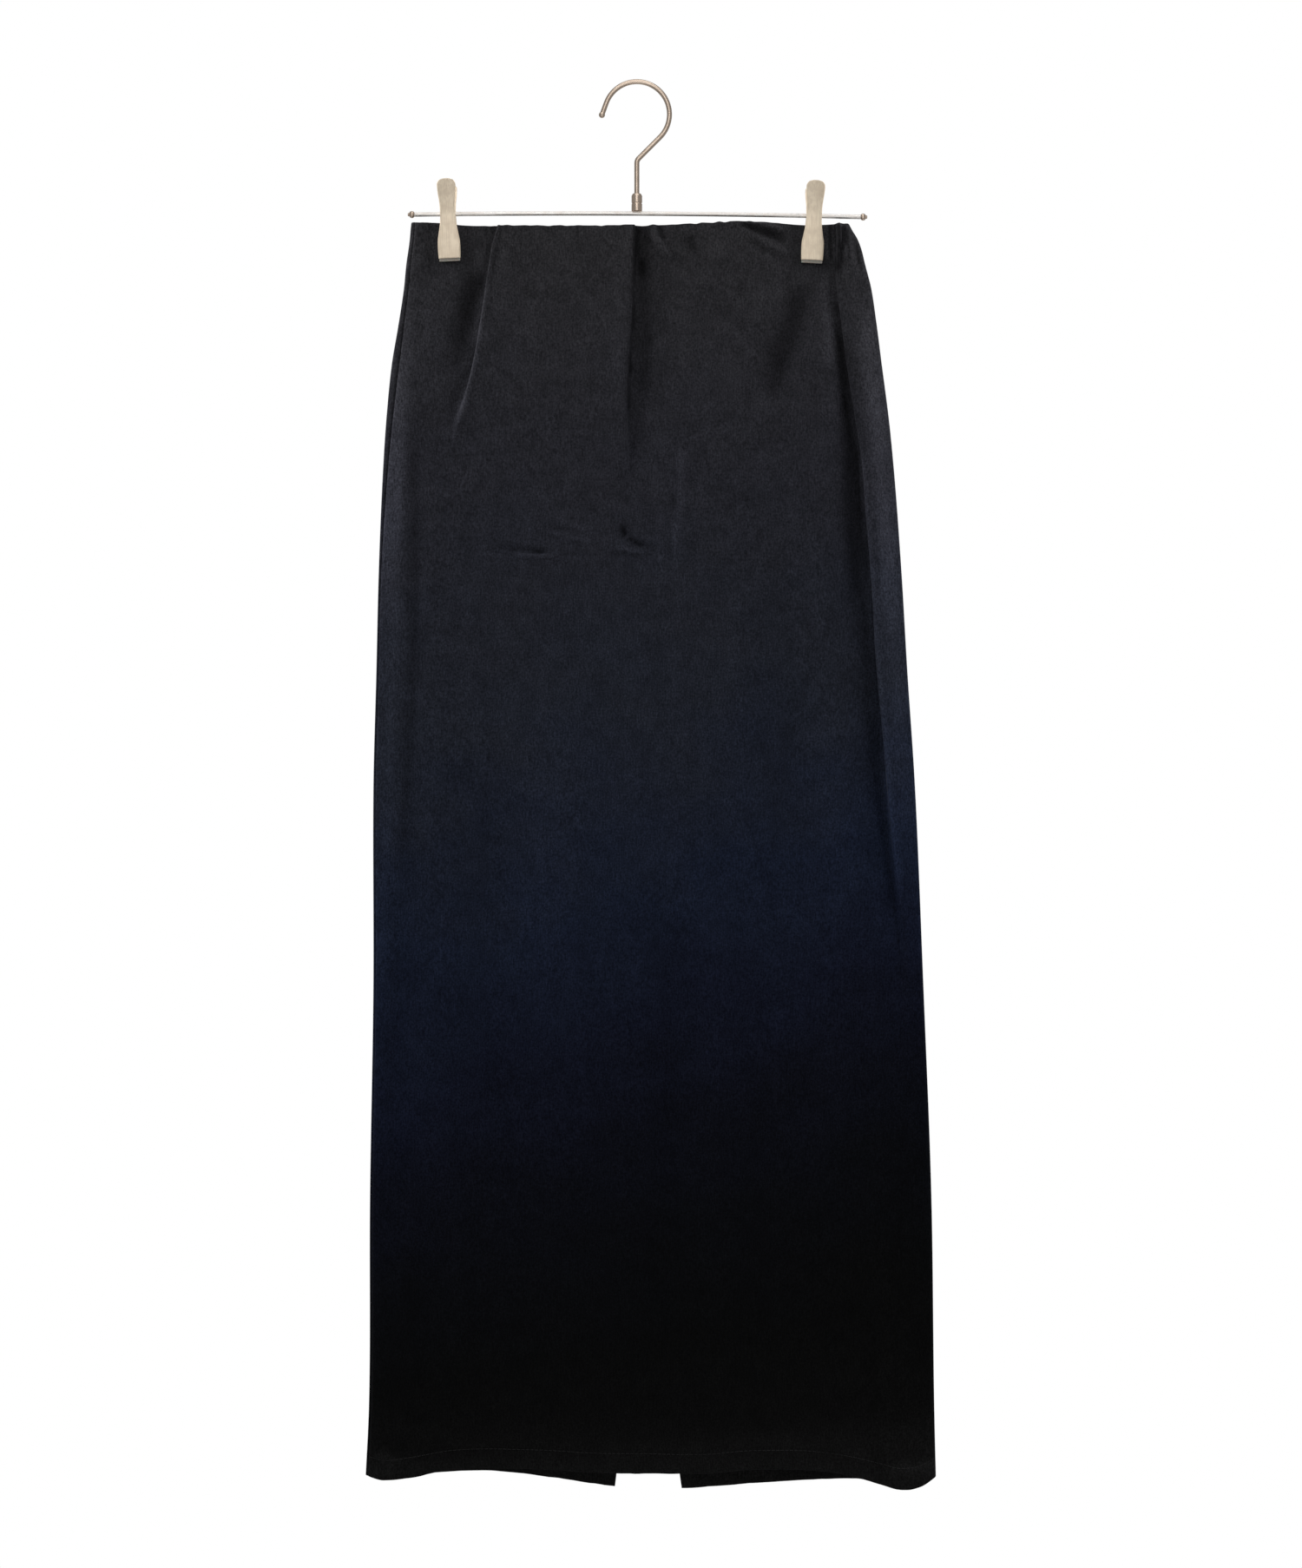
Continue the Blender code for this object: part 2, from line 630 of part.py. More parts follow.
def spring_profile():
    """Outside of a coil of wire, its turns side by side, and the plain bore."""
    radius = SPRING_WIRE / 2
    length = SPRING_TURNS * SPRING_WIRE
    middle = SPRING / 2 - radius
    profile = [(SPRING_BORE / 2, -length / 2)]
    for turn in range(SPRING_TURNS):
        centre = (turn + 0.5) * SPRING_WIRE - length / 2
        for share in (-60, 0, 60):
            angle = math.radians(share)
            profile.append((middle + radius * math.cos(angle),
                            centre + radius * math.sin(angle)))
    profile.append((SPRING_BORE / 2, length / 2))
    return profile


def pad_strip():
    """Both faces of a front pad: a strip between the jaw's lip and the cloth."""
    bottom = JAW[-1].z - PAD_BELOW
    inner = CLOTH + FIT / 2 + FIT
    rows = []
    for height in (PAD_HEIGHT, 0.0):
        rows.append([
            [Vector((side * PAD_WIDTH / 2, -out, bottom + height)) * MM
             for out in (inner + PAD, inner)]
            for side in (-1, 1)
        ])
    return rows


def make_clip(clip, steel, pad):
    """A clip: two jaws that turn on the bar by their ears, a spring and two pads."""
    on_bar = Vector((clip.x, 0, bar_height(clip.x))) * MM
    place = Matrix.Translation(on_bar) @ Matrix.Rotation(math.radians(-clip.tilt), 4, "Y")
    label = "clip_" + clip.name
    ear_gap = EAR + FIT
    for name, facing, outer in (("front", -1, EAR_OUTER), ("back", 1, EAR_OUTER - ear_gap)):
        turn = place if facing < 0 else place @ Matrix.Rotation(math.pi, 4, "Z")
        jaw = solid(label + "_" + name + "_jaw", wall(jaw_plate()), steel, turn)
        ears = []
        for side in (-1, 1):
            middle = side * (outer - EAR / 2)
            guide = solid(label + name + str(side), ear(middle, -1), steel, turn)
            ears.append(guide)
        joined(jaw, ears)
        solid(label + "_" + name + "_pad", wall(pad_strip()), pad, turn)
    lying = place @ Matrix.Rotation(math.pi / 2, 4, "Y")
    coil = turned(spring_profile(), 16, closed=True)
    solid(label + "_spring", coil, steel, lying)


def main():
    for old in list(bpy.data.objects):
        bpy.data.objects.remove(old, do_unlink=True)
    cloth = material("black_satin", BLACK, 0.55, 0.0)
    steel = material("satin_nickel", NICKEL, 0.32, 1.0)
    pad = material("clip_pad", CLEAR_GREY, 0.45, 0.0)
    make_skirt(cloth)
    make_hook(steel)
    make_ferrule(steel)
    make_bar(steel)
    for clip in CLIPS:
        make_clip(clip, steel, pad)
    bpy.context.view_layer.update()


main()
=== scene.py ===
"""Looks of a long straight skirt on a clip hanger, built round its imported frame.

The row frame is in metres, +Z up, and the viewer stands at -Y.  Tables are in millimetres.
The cloth follows the part's sections, finer, and adds creases, gathers, hems and stitches.
The hanger's pieces repeat the part's sizes with rounder forms.
"""

import itertools
import math
from collections import namedtuple

import bmesh
import bpy
import numpy as np
from mathutils import Matrix, Vector


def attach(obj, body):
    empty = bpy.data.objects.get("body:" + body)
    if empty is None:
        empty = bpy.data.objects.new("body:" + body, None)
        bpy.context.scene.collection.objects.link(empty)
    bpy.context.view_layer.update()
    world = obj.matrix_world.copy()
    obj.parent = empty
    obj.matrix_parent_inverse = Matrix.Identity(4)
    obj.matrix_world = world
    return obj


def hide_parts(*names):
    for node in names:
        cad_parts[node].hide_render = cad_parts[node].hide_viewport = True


MM = 0.001
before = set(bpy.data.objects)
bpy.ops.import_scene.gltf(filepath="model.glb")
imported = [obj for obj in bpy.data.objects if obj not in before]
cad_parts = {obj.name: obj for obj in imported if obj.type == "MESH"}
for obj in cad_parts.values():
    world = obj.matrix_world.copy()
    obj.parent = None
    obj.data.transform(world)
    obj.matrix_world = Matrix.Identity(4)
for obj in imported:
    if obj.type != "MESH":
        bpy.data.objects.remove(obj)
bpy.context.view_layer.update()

# ---------------------------------------------------------------- cloth form, from the part
EDGE_ROUND = 1.6        # radius of the tube's turn at its sides
FOLD_ROUND = 0.9        # radius of a tuck's turn, at the middle of the wall
FOLD_LEAST = 1.5        # shortest run between a tuck's two turns
FOLD_DIP = 0.6          # share of a tuck's height that sinks in, beside it
FOLD_REACH = 16.0       # how far the cloth beside a tuck is lifted or sunk
BACK_SEAM_TOP = -3.0    # x of the centre-back seam at the waist, and at the hem
BACK_SEAM_HEM = 8.6
SLIT_LENGTH = 250.0
SLIT_WIDTH = 50.0       # at the hem
SLIT_FLARE = 1.5        # 1 opens it in straight lines, more in curves that flare downwards
WAIST_BAND = 28.0       # height over which the rows bend to the waist's edge, and the hem's
HEM_BAND = 60.0
WAIST_LEVEL = -104.0
HEM_LEVEL = -1040.0
HELD = 0.75             # middle of the wall from the middle plane, between the clips' pads

Outline = namedtuple("Outline", "z left right depth seam")
OUTLINE = (
    Outline(-104, -168.4, 158.5, 8.8, 2.6),
    Outline(-108, -168.9, 161.2, 8.9, 2.6),
    Outline(-114, -169.4, 164.8, 9.1, 2.7),
    Outline(-121, -170.2, 167.4, 9.4, 2.8),
    Outline(-134, -172.1, 170.6, 9.8, 3.0),
    Outline(-153, -174.0, 175.6, 10.6, 3.2),
    Outline(-179, -177.9, 179.6, 12.2, 3.9),
    Outline(-210, -183.1, 183.6, 14.0, 5.4),
    Outline(-249, -187.0, 188.7, 15.6, 4.6),
    Outline(-288, -189.6, 192.6, 16.4, 3.3),
    Outline(-366, -192.9, 198.4, 17.0, 1.4),
    Outline(-444, -194.8, 203.0, 17.0, 1.2),
    Outline(-522, -196.8, 208.2, 17.0, 1.2),
    Outline(-678, -196.9, 214.7, 16.6, 1.2),
    Outline(-834, -199.4, 220.5, 16.0, 1.2),
    Outline(-990, -200.2, 222.6, 15.0, 1.2),
    Outline(-1040, -202.6, 223.8, 14.4, 1.2),
)

# Edge of each tuck, how far the cloth goes under it, and the angle it turns through.
Tuck = namedtuple("Tuck", "z edge under turn")
LEFT_TUCK = (
    Tuck(-104, -103.6, 4.5, 150),
    Tuck(-120, -107.6, 5.5, 160),
    Tuck(-139, -110.6, 6.0, 165),
    Tuck(-176, -116.2, 5.0, 155),
    Tuck(-213, -122.6, 3.0, 130),
    Tuck(-236, -128.4, 1.5, 85),
    Tuck(-266, -136.5, 1.5, 0),
    Tuck(-500, -147.0, 1.5, 0),
    Tuck(-1040, -154.0, 1.5, 0),
)
CENTRE_TUCK = (
    Tuck(-104, -1.6, 8.0, 172),
    Tuck(-137, -2.4, 8.5, 172),
    Tuck(-168, -3.1, 7.0, 165),
    Tuck(-209, -5.7, 4.5, 145),
    Tuck(-250, -7.6, 2.0, 90),
    Tuck(-280, -8.3, 1.5, 45),
    Tuck(-310, -9.0, 1.5, 0),
    Tuck(-1040, 5.0, 1.5, 0),
)
RIGHT_PLEAT = (
    Tuck(-104, 149.5, 1.5, 70),
    Tuck(-122, 149.5, 2.0, 115),
    Tuck(-149, 149.5, 5.0, 160),
    Tuck(-178, 152.9, 9.0, 172),
    Tuck(-217, 158.1, 11.0, 172),
    Tuck(-250, 163.3, 12.0, 172),
    Tuck(-286, 168.5, 11.0, 172),
    Tuck(-320, 171.1, 10.0, 170),
    Tuck(-377, 175.7, 8.0, 165),
    Tuck(-430, 178.6, 5.5, 145),
    Tuck(-497, 184.8, 3.0, 105),
    Tuck(-546, 189.3, 2.0, 72),
    Tuck(-586, 193.2, 1.5, 50),
    Tuck(-640, 199.5, 1.5, 28),
    Tuck(-710, 203.0, 1.5, 0),
    Tuck(-1040, 206.0, 1.5, 0),
)
TUCKS = ((LEFT_TUCK, 1), (CENTRE_TUCK, -1), (RIGHT_PLEAT, 1))

Edge = namedtuple("Edge", "x z")
WAIST_EDGE = (
    Edge(-169, -103.8), Edge(-150, -104.0), Edge(-128, -106.0), Edge(-60, -106.6),
    Edge(0, -106.4), Edge(40, -105.2), Edge(72, -103.6), Edge(98, -104.0),
    Edge(130, -105.8), Edge(152, -105.0), Edge(168, -107.0),
)
FRONT_HEM = (
    Edge(-203, -1041), Edge(-188, -1044), Edge(-170, -1042), Edge(-138, -1035.5),
    Edge(-82, -1035), Edge(-10, -1038.5), Edge(50, -1038.5), Edge(90, -1035.5),
    Edge(130, -1036), Edge(163, -1041), Edge(182, -1047), Edge(198, -1051), Edge(212, -1049),
    Edge(224, -1042),
)
BACK_HEM = (
    Edge(-203, -1041), Edge(-188, -1044), Edge(-160, -1041.5), Edge(-117, -1039.5),
    Edge(-60, -1045), Edge(-18, -1051), Edge(34, -1052.5), Edge(85, -1049), Edge(137, -1046),
    Edge(163, -1045.5), Edge(182, -1049), Edge(198, -1051.5), Edge(212, -1049),
    Edge(224, -1042),
)
Clip = namedtuple("Clip", "name x tilt outward")
CLIPS = (Clip("left", -141.4, 2.4, -1), Clip("right", 132.6, -2.8, 1))
PINCH_FULL = 12.0       # half width that a clip holds flat, and where its hold ends
PINCH_OUT = 24.0
PINCH_IN = 50.0
PINCH_LOW = -134.0      # level down to which the hold is full, and where it ends
PINCH_END = -195.0

# ---------------------------------------------------------------- cloth, finer than the part
CLOTH = 0.9             # wall
HEM_TURN = 15.0         # height of the turned hem
CASING = 26.0           # height of the turned casing at the waist
TURNED = 0.7            # what a turned layer adds on the inside
RIM = 0.8               # height over which the wall thins at its rims
RIM_INSET = 0.12        # the first and last rows count as this far from the rim
RIM_LEAST = 0.06        # least share of the way in, so that a rim keeps some thickness
SEAM_GAP = 0.1
SEAM_SINK = 0.35        # how far the wall dips inwards along a panel's two upright edges
SEAM_SINK_WIDTH = 0.9
SLIT_TURN = 12.0        # width of the turned edge along the slit
TIGHT_BEND = 0.12       # radians for each mm, from which no layer is added on the inside
TIGHT_SPREAD = 4        # and how many points on each side of such a bend are left plain too

# Painted shade: the cloth's colour is darker in hollows and lighter on ridges, as the creases sink
# or lift it.
PAINTED_SHADE = "painted_shade"
PAINTED_SHADE_TURN = 0.09         # change for each millimetre that a crease lifts the cloth by
PAINTED_SHADE_LIMITS = (0.28, 2.0)

# Points along a section: coarse steps, each split in two in the band at the waist.
LEFT_STEPS = 22
LEFT_CROWDING = 1.6     # 1 spaces those of the left strip evenly, more crowds them at the side
BETWEEN_STEPS = (42, 50)
RIGHT_STEPS = 12
TURN_STEPS = 8
WRAP_STEPS = 5
BACK_STEPS = 68
FINE_LEVEL = -150.0     # the waist's band ends here

# Between these levels the cloth leans back towards its sides.
Lean = namedtuple("Lean", "side width amount")
LEANS = (Lean("left", 25.0, 0.6), Lean("right", 30.0, 0.75))
LEAN_POWER = 1.4
LEAN_ENDS = (-800.0, -480.0)
LEAN_TOP = (-110.0, -190.0)

# Ripples along the waist and the hem: each dies away within its reach of that rim.
Ripple = namedtuple("Ripple", "reach lift spacing")
WAIST_RIPPLES = (Ripple(8, 0.60, 5), Ripple(15, 0.75, 10), Ripple(30, 0.7, 21))
HEM_RIPPLES = (Ripple(16, 0.30, 24), Ripple(20, 0.16, 8))
# The same, of the height of the two edges.
WAIST_RUFFLE = Ripple(3.5, 0.55, 4.4)
HEM_RUFFLE = Ripple(3.0, 0.22, 6)
# Unevenness all over: its spacing, how much it is drawn out upright, and its lift.
Swell = namedtuple("Swell", "spacing upright lift")
SWELLS = (Swell(34.0, 0.7, 0.22), Swell(13.0, 0.8, 0.11))
# The hem's stitches pull the cloth in along their line, and a low ridge stands above it.
STITCH_PULL = Ripple(1.0, 0.30, 9)
STITCH_RIDGE = 0.14
STITCH_RIDGE_ABOVE = 2.6
STITCH_RIDGE_WIDTH = 1.8

# Rows: from each level down to the next one, this far apart.
Band = namedtuple("Band", "top bottom step")
BANDS = (
    Band(WAIST_LEVEL, -105.2, 0.3), Band(-105.2, FINE_LEVEL, 1.36),
    Band(FINE_LEVEL, -318, 3.1), Band(-318, -362, 1.5), Band(-362, -400, 3.5),
    Band(-400, -1012, 7.6),
    Band(-1012, -1038.8, 1.2), Band(-1038.8, HEM_LEVEL, 0.3),
)

# Creases.  points run down the crease as (x, z); the crease falls away over `left`
# and `right` on its two sides, and lifts the cloth towards the viewer by `lift`, or sinks it.
Crease = namedtuple("Crease", "points left right lift fade")
CREASE_REACH = 2.6      # widths from its line within which a crease counts
RUN_OFF = 6             # a crease that ends this close to the waist or the hem runs off it
FRONT_CREASES = (
    # left side: rolled edge and the trough beside it
    Crease(((-164, -150), (-171, -260), (-176, -380), (-182, -520), (-188, -700)), 5, 6, 1.05, 60),
    Crease(((-168, -225), (-166, -300), (-165.5, -380), (-167, -450), (-171, -530), (-176, -610)),
           4.5, 6, -2.0, 60),
    Crease(((-176, -560), (-181, -700), (-184, -860)), 6, 8, -1.05, 80),
    Crease(((-131, -128), (-128, -150), (-132, -176), (-140, -205)), 5, 9, -1.35, 14),
    Crease(((-150, -136), (-153, -170), (-160, -220)), 5, 5, 0.75, 20),
    # shadow to the left of the left tuck
    Crease(((-115, -136), (-121, -165), (-128, -192), (-136, -222)), 9, 4, -2.4, 18),
    Crease(((-122, -200), (-128, -232), (-134, -258), (-138, -276)), 1.6, 2.6, 1.05, 14),
    # shadow to the right of the centre tuck, and its run-out
    Crease(((6, -106), (6, -136), (5, -176), (2, -214), (-1, -250)), 6, 9, -2.55, 26),
    Crease(((-6.5, -246), (-8, -275), (-9, -306)), 2.0, 3.0, -0.4, 24),
    Crease(((-9, -112), (-10, -150), (-13, -200), (-15, -250)), 6, 5, 0.9, 24),
    # gathers to the right of the centre tuck
    Crease(((14.5, -105), (18, -112), (21, -119)), 1.9, 2.6, -2.34, 4),
    Crease(((10.6, -105), (14, -116), (22, -128), (25, -134)), 2.4, 2.2, 2.43, 7),
    Crease(((25, -108), (29, -120), (33, -134)), 3.0, 4.0, 1.35, 9),
    Crease(((37, -114), (41, -121), (45, -129)), 4.0, 4.5, -2.47, 6),
    Crease(((50, -110), (58, -122), (66, -138)), 5, 5, 1.27, 10),
    Crease(((81, -106), (92, -111.5), (104, -115.5), (116, -119)), 3.0, 4.0, -2.92, 9),
    Crease(((82, -116), (90, -122), (98, -130)), 3.0, 3.6, -1.89, 7),
    Crease(((84, -104.5), (98, -107), (112, -111)), 2.2, 2.2, 2.16, 8),
    Crease(((92, -118), (104, -124), (114, -129)), 2.6, 2.6, 1.35, 7),
    # gathers between the left clip and the left tuck, and along the waist
    Crease(((-163, -105), (-163, -116), (-165, -134)), 1.4, 1.8, -0.75, 8),
    Crease(((-156, -105), (-155, -113), (-154, -122)), 1.6, 1.6, 0.75, 6),
    Crease(((-126, -107), (-123, -114), (-121, -124)), 2.0, 2.4, -0.6, 7),
    Crease(((-92, -107), (-90, -115), (-90, -126)), 2.4, 2.4, -0.52, 9),
    Crease(((-72, -107), (-76, -122), (-84, -140)), 3.4, 3.4, 0.68, 12),
    Crease(((-46, -107), (-45, -116), (-47, -131)), 2.6, 2.6, -0.52, 9),
    Crease(((-24, -107), (-23, -118), (-26, -136)), 3.0, 3.0, 0.52, 11),
    # small creases in the middle
    Crease(((-108, -347.4), (-94, -349.4), (-80, -351), (-62, -351.6)), 0.9, 1.3, -0.9, 12),
    Crease(((-75, -350.6), (-68, -351.2)), 1.6, 1.8, -1.2, 3),
    Crease(((-96, -352.6), (-76, -354.4), (-52, -354.8)), 1.2, 1.2, 0.84, 12),
    Crease(((-74, -334.5), (-52, -340), (-30, -345.5)), 1.6, 1.8, 0.6, 10),
    Crease(((-68, -328), (-48, -332), (-28, -337)), 2.2, 2.2, 0.5, 10),
    Crease(((-12, -333), (-9, -337), (-7.5, -341)), 2.2, 2.8, -2.16, 3),
    Crease(((-7, -340), (0, -344.5), (7, -348)), 1.2, 1.4, -2.03, 4),
    Crease(((-1, -338), (5, -342), (14, -346)), 1.6, 1.6, 1.08, 5),
    Crease(((-30, -339), (-26, -340.5)), 1.2, 1.2, -1.2, 2),
    Crease(((-20, -347), (-6, -351), (8, -352.5)), 1.4, 1.6, 0.81, 7),
    Crease(((-92, -341.5), (-86, -345), (-74, -347)), 1.0, 1.2, 0.81, 6),
    Crease(((32.5, -255), (32, -300), (29, -340), (26, -385)), 1.3, 3.2, 1.3, 30),
    Crease(((18, -335), (16.5, -365), (15.5, -400)), 2.2, 3.0, 1.0, 16),
    Crease(((64, -318), (78, -312), (94, -311)), 1.6, 1.6, -0.54, 10),
    Crease(((-120, -296), (-128, -322), (-133, -350)), 2.4, 2.4, -0.38, 16),
    # under the right clip
    Crease(((129, -140), (121, -166), (112.5, -194), (104, -220), (98, -246)), 11, 9, -3.4, 24),
    Crease(((141, -131), (141, -150), (142, -172), (145, -200)), 3.4, 3.0, 1.35, 12),
    Crease(((146.5, -132), (147, -146), (148, -158)), 2.0, 2.4, -0.9, 8),
    Crease(((104, -140), (96, -164), (88, -196)), 9, 9, 0.75, 20),
    # gathers to the right of the right clip
    Crease(((142.4, -110), (143, -120), (144.5, -130)), 1.3, 1.4, -1.65, 5),
    Crease(((146, -107), (146, -116), (147, -126)), 1.3, 1.3, 1.8, 5),
    Crease(((148.6, -109), (149, -116), (149.6, -126)), 1.0, 1.2, -1.5, 5),
    Crease(((153.8, -108), (154.2, -118), (153.8, -127), (152.6, -140)), 1.2, 1.4, -1.95, 7),
    Crease(((151.4, -106.5), (151.6, -114), (151.4, -123)), 1.2, 1.2, 2.03, 5),
    Crease(((156.4, -108), (157.6, -119), (160.4, -140)), 1.6, 2.2, 1.4, 9),
    Crease(((162, -112), (164, -126), (167, -144)), 1.6, 1.8, -0.75, 9),
    # the deep hollow beside the pleat
    Crease(((150.6, -172), (153, -205), (156, -245), (159, -295), (161, -345), (165, -405)),
           7, 8, -3.9, 44),
    Crease(((166, -330), (170, -400), (175, -470), (181, -540), (188, -640)), 8, 7, -0.9, 60),
    Crease(((180, -470), (184, -540), (192, -610), (199, -700)), 3.0, 1.6, -1.0, 60),
    # the pleat's crest as it runs out, and a second, narrower hollow close beside its edge
    Crease(((177, -388), (180, -440), (184.8, -497), (190, -550), (194, -590), (198, -640)),
           2.0, 3.0, 0.8, 40),
    Crease(((150, -176), (154, -215), (159, -252), (165, -290), (168, -320), (172, -370)),
           3.6, 3.0, -1.6, 30),
    Crease(((158, -225), (163, -295), (168, -375), (173, -450)), 13, 5, -1.3, 60),
    # the strip to the right of the pleat swells
    Crease(((164, -150), (171, -215), (178, -290), (184, -370), (192, -470), (200, -590)),
           7, 10, 1.9, 50),
    # dark hollows close to the edges of the centre and left tucks
    Crease(((1.6, -104), (1.0, -137), (0.2, -168), (-2.2, -209)), 1.8, 2.6, -1.8, 16),
    Crease(((3.0, -131), (3.0, -138), (2.6, -146)), 2.6, 3.4, -2.6, 5),
    Crease(((-121, -140), (-125, -160), (-129, -182)), 6, 3.4, -1.6, 12),
    # long soft waves down the skirt
    Crease(((22, -560), (24, -700), (20, -860), (22, -1000)), 15, 12, -1.35, 120),
    Crease(((54, -580), (57, -740), (55, -900)), 10, 12, 1.05, 110),
    Crease(((-70, -420), (-64, -560), (-70, -760)), 26, 22, 1.2, 120),
    Crease(((-118, -440), (-120, -620), (-124, -840)), 16, 18, -1.05, 130),
    Crease(((98, -300), (104, -460), (108, -640)), 22, 18, -1.2, 110),
    Crease(((140, -420), (146, -600), (150, -860)), 14, 16, 1.05, 130),
    Crease(((-30, -640), (-26, -800), (-32, -1000)), 12, 14, -0.68, 110),
    Crease(((182, -760), (186, -880), (190, -1010)), 7, 6, 1.05, 70),
    Crease(((176, -900), (180, -1000), (184, -1050)), 8, 6, -1.05, 50),
    Crease(((90, -700), (88, -860), (92, -1020)), 13, 12, -0.75, 90),
    Crease(((-160, -820), (-166, -940), (-172, -1044)), 9, 9, -1.2, 70),
    # puckers along the hem
    Crease(((-196, -1024), (-186, -1029), (-172, -1032)), 3, 3, 1.05, 6),
    Crease(((-146, -1016), (-128, -1019), (-104, -1019)), 3, 3, 0.6, 10),
    Crease(((190, -1033), (204, -1036), (219, -1034)), 3, 3, 1.05, 7),
    Crease(((150, -1022), (166, -1026), (180, -1032)), 3, 3, 0.6, 8),
)
# Colour alone, in the same form with no lift: painted shade and painted light along the edges of
# the folds.
FRONT_SHADE_STROKES = (
    # painted shade along the edges of the centre and left tucks, and painted light on the left
    # tuck's crest
    Crease(((-1.6, -104), (-2.4, -137), (-3.1, -168), (-5.7, -209), (-7.6, -250), (-8.6, -310)),
           0.9, 1.5, -8.6, 100),
    Crease(((3, -128), (3.2, -138), (2.8, -149)), 2.6, 3.6, -5.0, 6),
    Crease(((-106.5, -106), (-110.5, -120), (-114, -139), (-119, -160), (-122, -176)),
           1.6, 1.6, -4.0, 26),
    Crease(((-116, -134), (-119.5, -152), (-124, -172), (-130, -195)), 9, 4, -3.2, 16),
    Crease(((-111.4, -140), (-114.4, -163), (-117.0, -180), (-120.8, -204), (-127, -232),
            (-133.6, -258)), 1.2, 1.8, 9.0, 20),
    # painted light along the left edge, the right strip and two upright lines in the middle
    Crease(((-178, -150), (-181, -200), (-182.5, -235), (-184, -275), (-187, -340), (-190, -420)),
           8, 9, 8.0, 90),
    Crease(((163, -150), (170, -195), (177, -250), (183, -320), (190, -420)), 6, 10, 4.5, 50),
    Crease(((156, -108), (163, -122), (168, -142)), 4, 6, -3.0, 12),
    Crease(((164.4, -250), (169.4, -286), (172, -320), (176.7, -377), (179.9, -430),
            (186, -497), (190.4, -546), (194.3, -586), (200.5, -640)), 0.9, 1.2, 6.0, 50),
    Crease(((32.5, -258), (32, -300), (29, -340), (26.5, -380)), 1.0, 3.5, 4.0, 30),
    Crease(((17, -338), (15.6, -388)), 1.5, 2.0, 3.0, 12),
    # painted shade and light on the folds to the right of the right clip
    Crease(((141.6, -106), (142.2, -120), (142.8, -134)), 1.8, 1.3, 6.0, 6),
    Crease(((144.8, -107), (145.2, -120), (145.8, -134)), 1.4, 1.3, -7.0, 6),
    Crease(((147.2, -107), (147.4, -118), (148.0, -134)), 1.3, 1.2, 3.6, 6),
    Crease(((150.8, -107), (151.4, -120), (150.8, -134), (149.8, -144)), 1.7, 1.6, -8.0, 6),
    Crease(((154.2, -106), (154.8, -119), (156.4, -134)), 1.5, 1.5, 6.0, 8),
    Crease(((157.2, -110), (157.8, -121), (160.0, -136)), 1.3, 1.5, -4.0, 8),
    # painted shade along the contact line at the top of the centre tuck, and in the wide hollow
    # beside the pleat
    Crease(((0.4, -104), (0.0, -118), (-0.2, -134)), 1.4, 2.4, -6.0, 8),
    Crease(((152, -262), (156, -320), (160, -400), (166, -470), (174, -560)), 12, 5, -1.0, 50),
    Crease(((142.5, -134), (142.8, -160), (143.6, -190), (145, -215)), 5, 5, 4.4, 14),
    Crease(((127, -142), (118, -172), (108, -204), (100, -236)), 10, 10, -2.4, 30),
    Crease(((148.6, -146), (150.4, -176), (154.6, -215), (160, -252), (165.4, -290),
            (169, -330), (173.4, -380)), 2.0, 1.0, -6.6, 26),
    Crease(((-12, -328), (-10.5, -334), (-9.5, -340), (-4, -343), (6, -346)), 2.4, 2.4, -4.4, 3),
    Crease(((-26, -335), (-22, -335.4)), 1.7, 1.7, -3.6, 1),
    Crease(((-80, -350.6), (-74, -351), (-67, -351.4)), 1.6, 1.9, -2.6, 4),
    Crease(((-124, -349.4), (-73, -351.4), (-40, -352.4), (4, -354)), 1.0, 1.3, -1.3, 14),
    Crease(((-118, -352.6), (-80, -355), (-40, -356), (0, -357.4)), 1.6, 1.6, 1.4, 14),
    Crease(((-68, -322), (-48, -331), (-28, -338.6), (2, -346)), 1.5, 1.5, 2.4, 10),
    Crease(((-73, -335), (-52, -340), (-30, -345.5)), 1.5, 1.5, 1.6, 8),
    # lighter along the hem and at its corners
    Crease(((-203, -1016), (-190, -1027), (-172, -1033)), 6, 6, 6.0, 10),
    Crease(((188, -1030), (204, -1037), (224, -1030)), 6, 6, 6.0, 8),
    Crease(((-200, -1004), (-120, -1010), (0, -1014), (120, -1012), (222, -1008)), 9, 9, 2.6, 5),
    # painted shade in the gathers along the waist, and in a small hollow below them
    Crease(((28, -106), (33, -118), (36, -126)), 3.4, 3.4, -1.8, 8),
    Crease(((38, -116), (44, -128), (48, -134)), 3.6, 3.6, -2.2, 7),
    Crease(((84, -107), (98, -112), (112, -117)), 3.0, 3.0, -3.0, 9),
    Crease(((60, -166), (66, -172), (74, -168)), 6, 6, -1.2, 8),
)
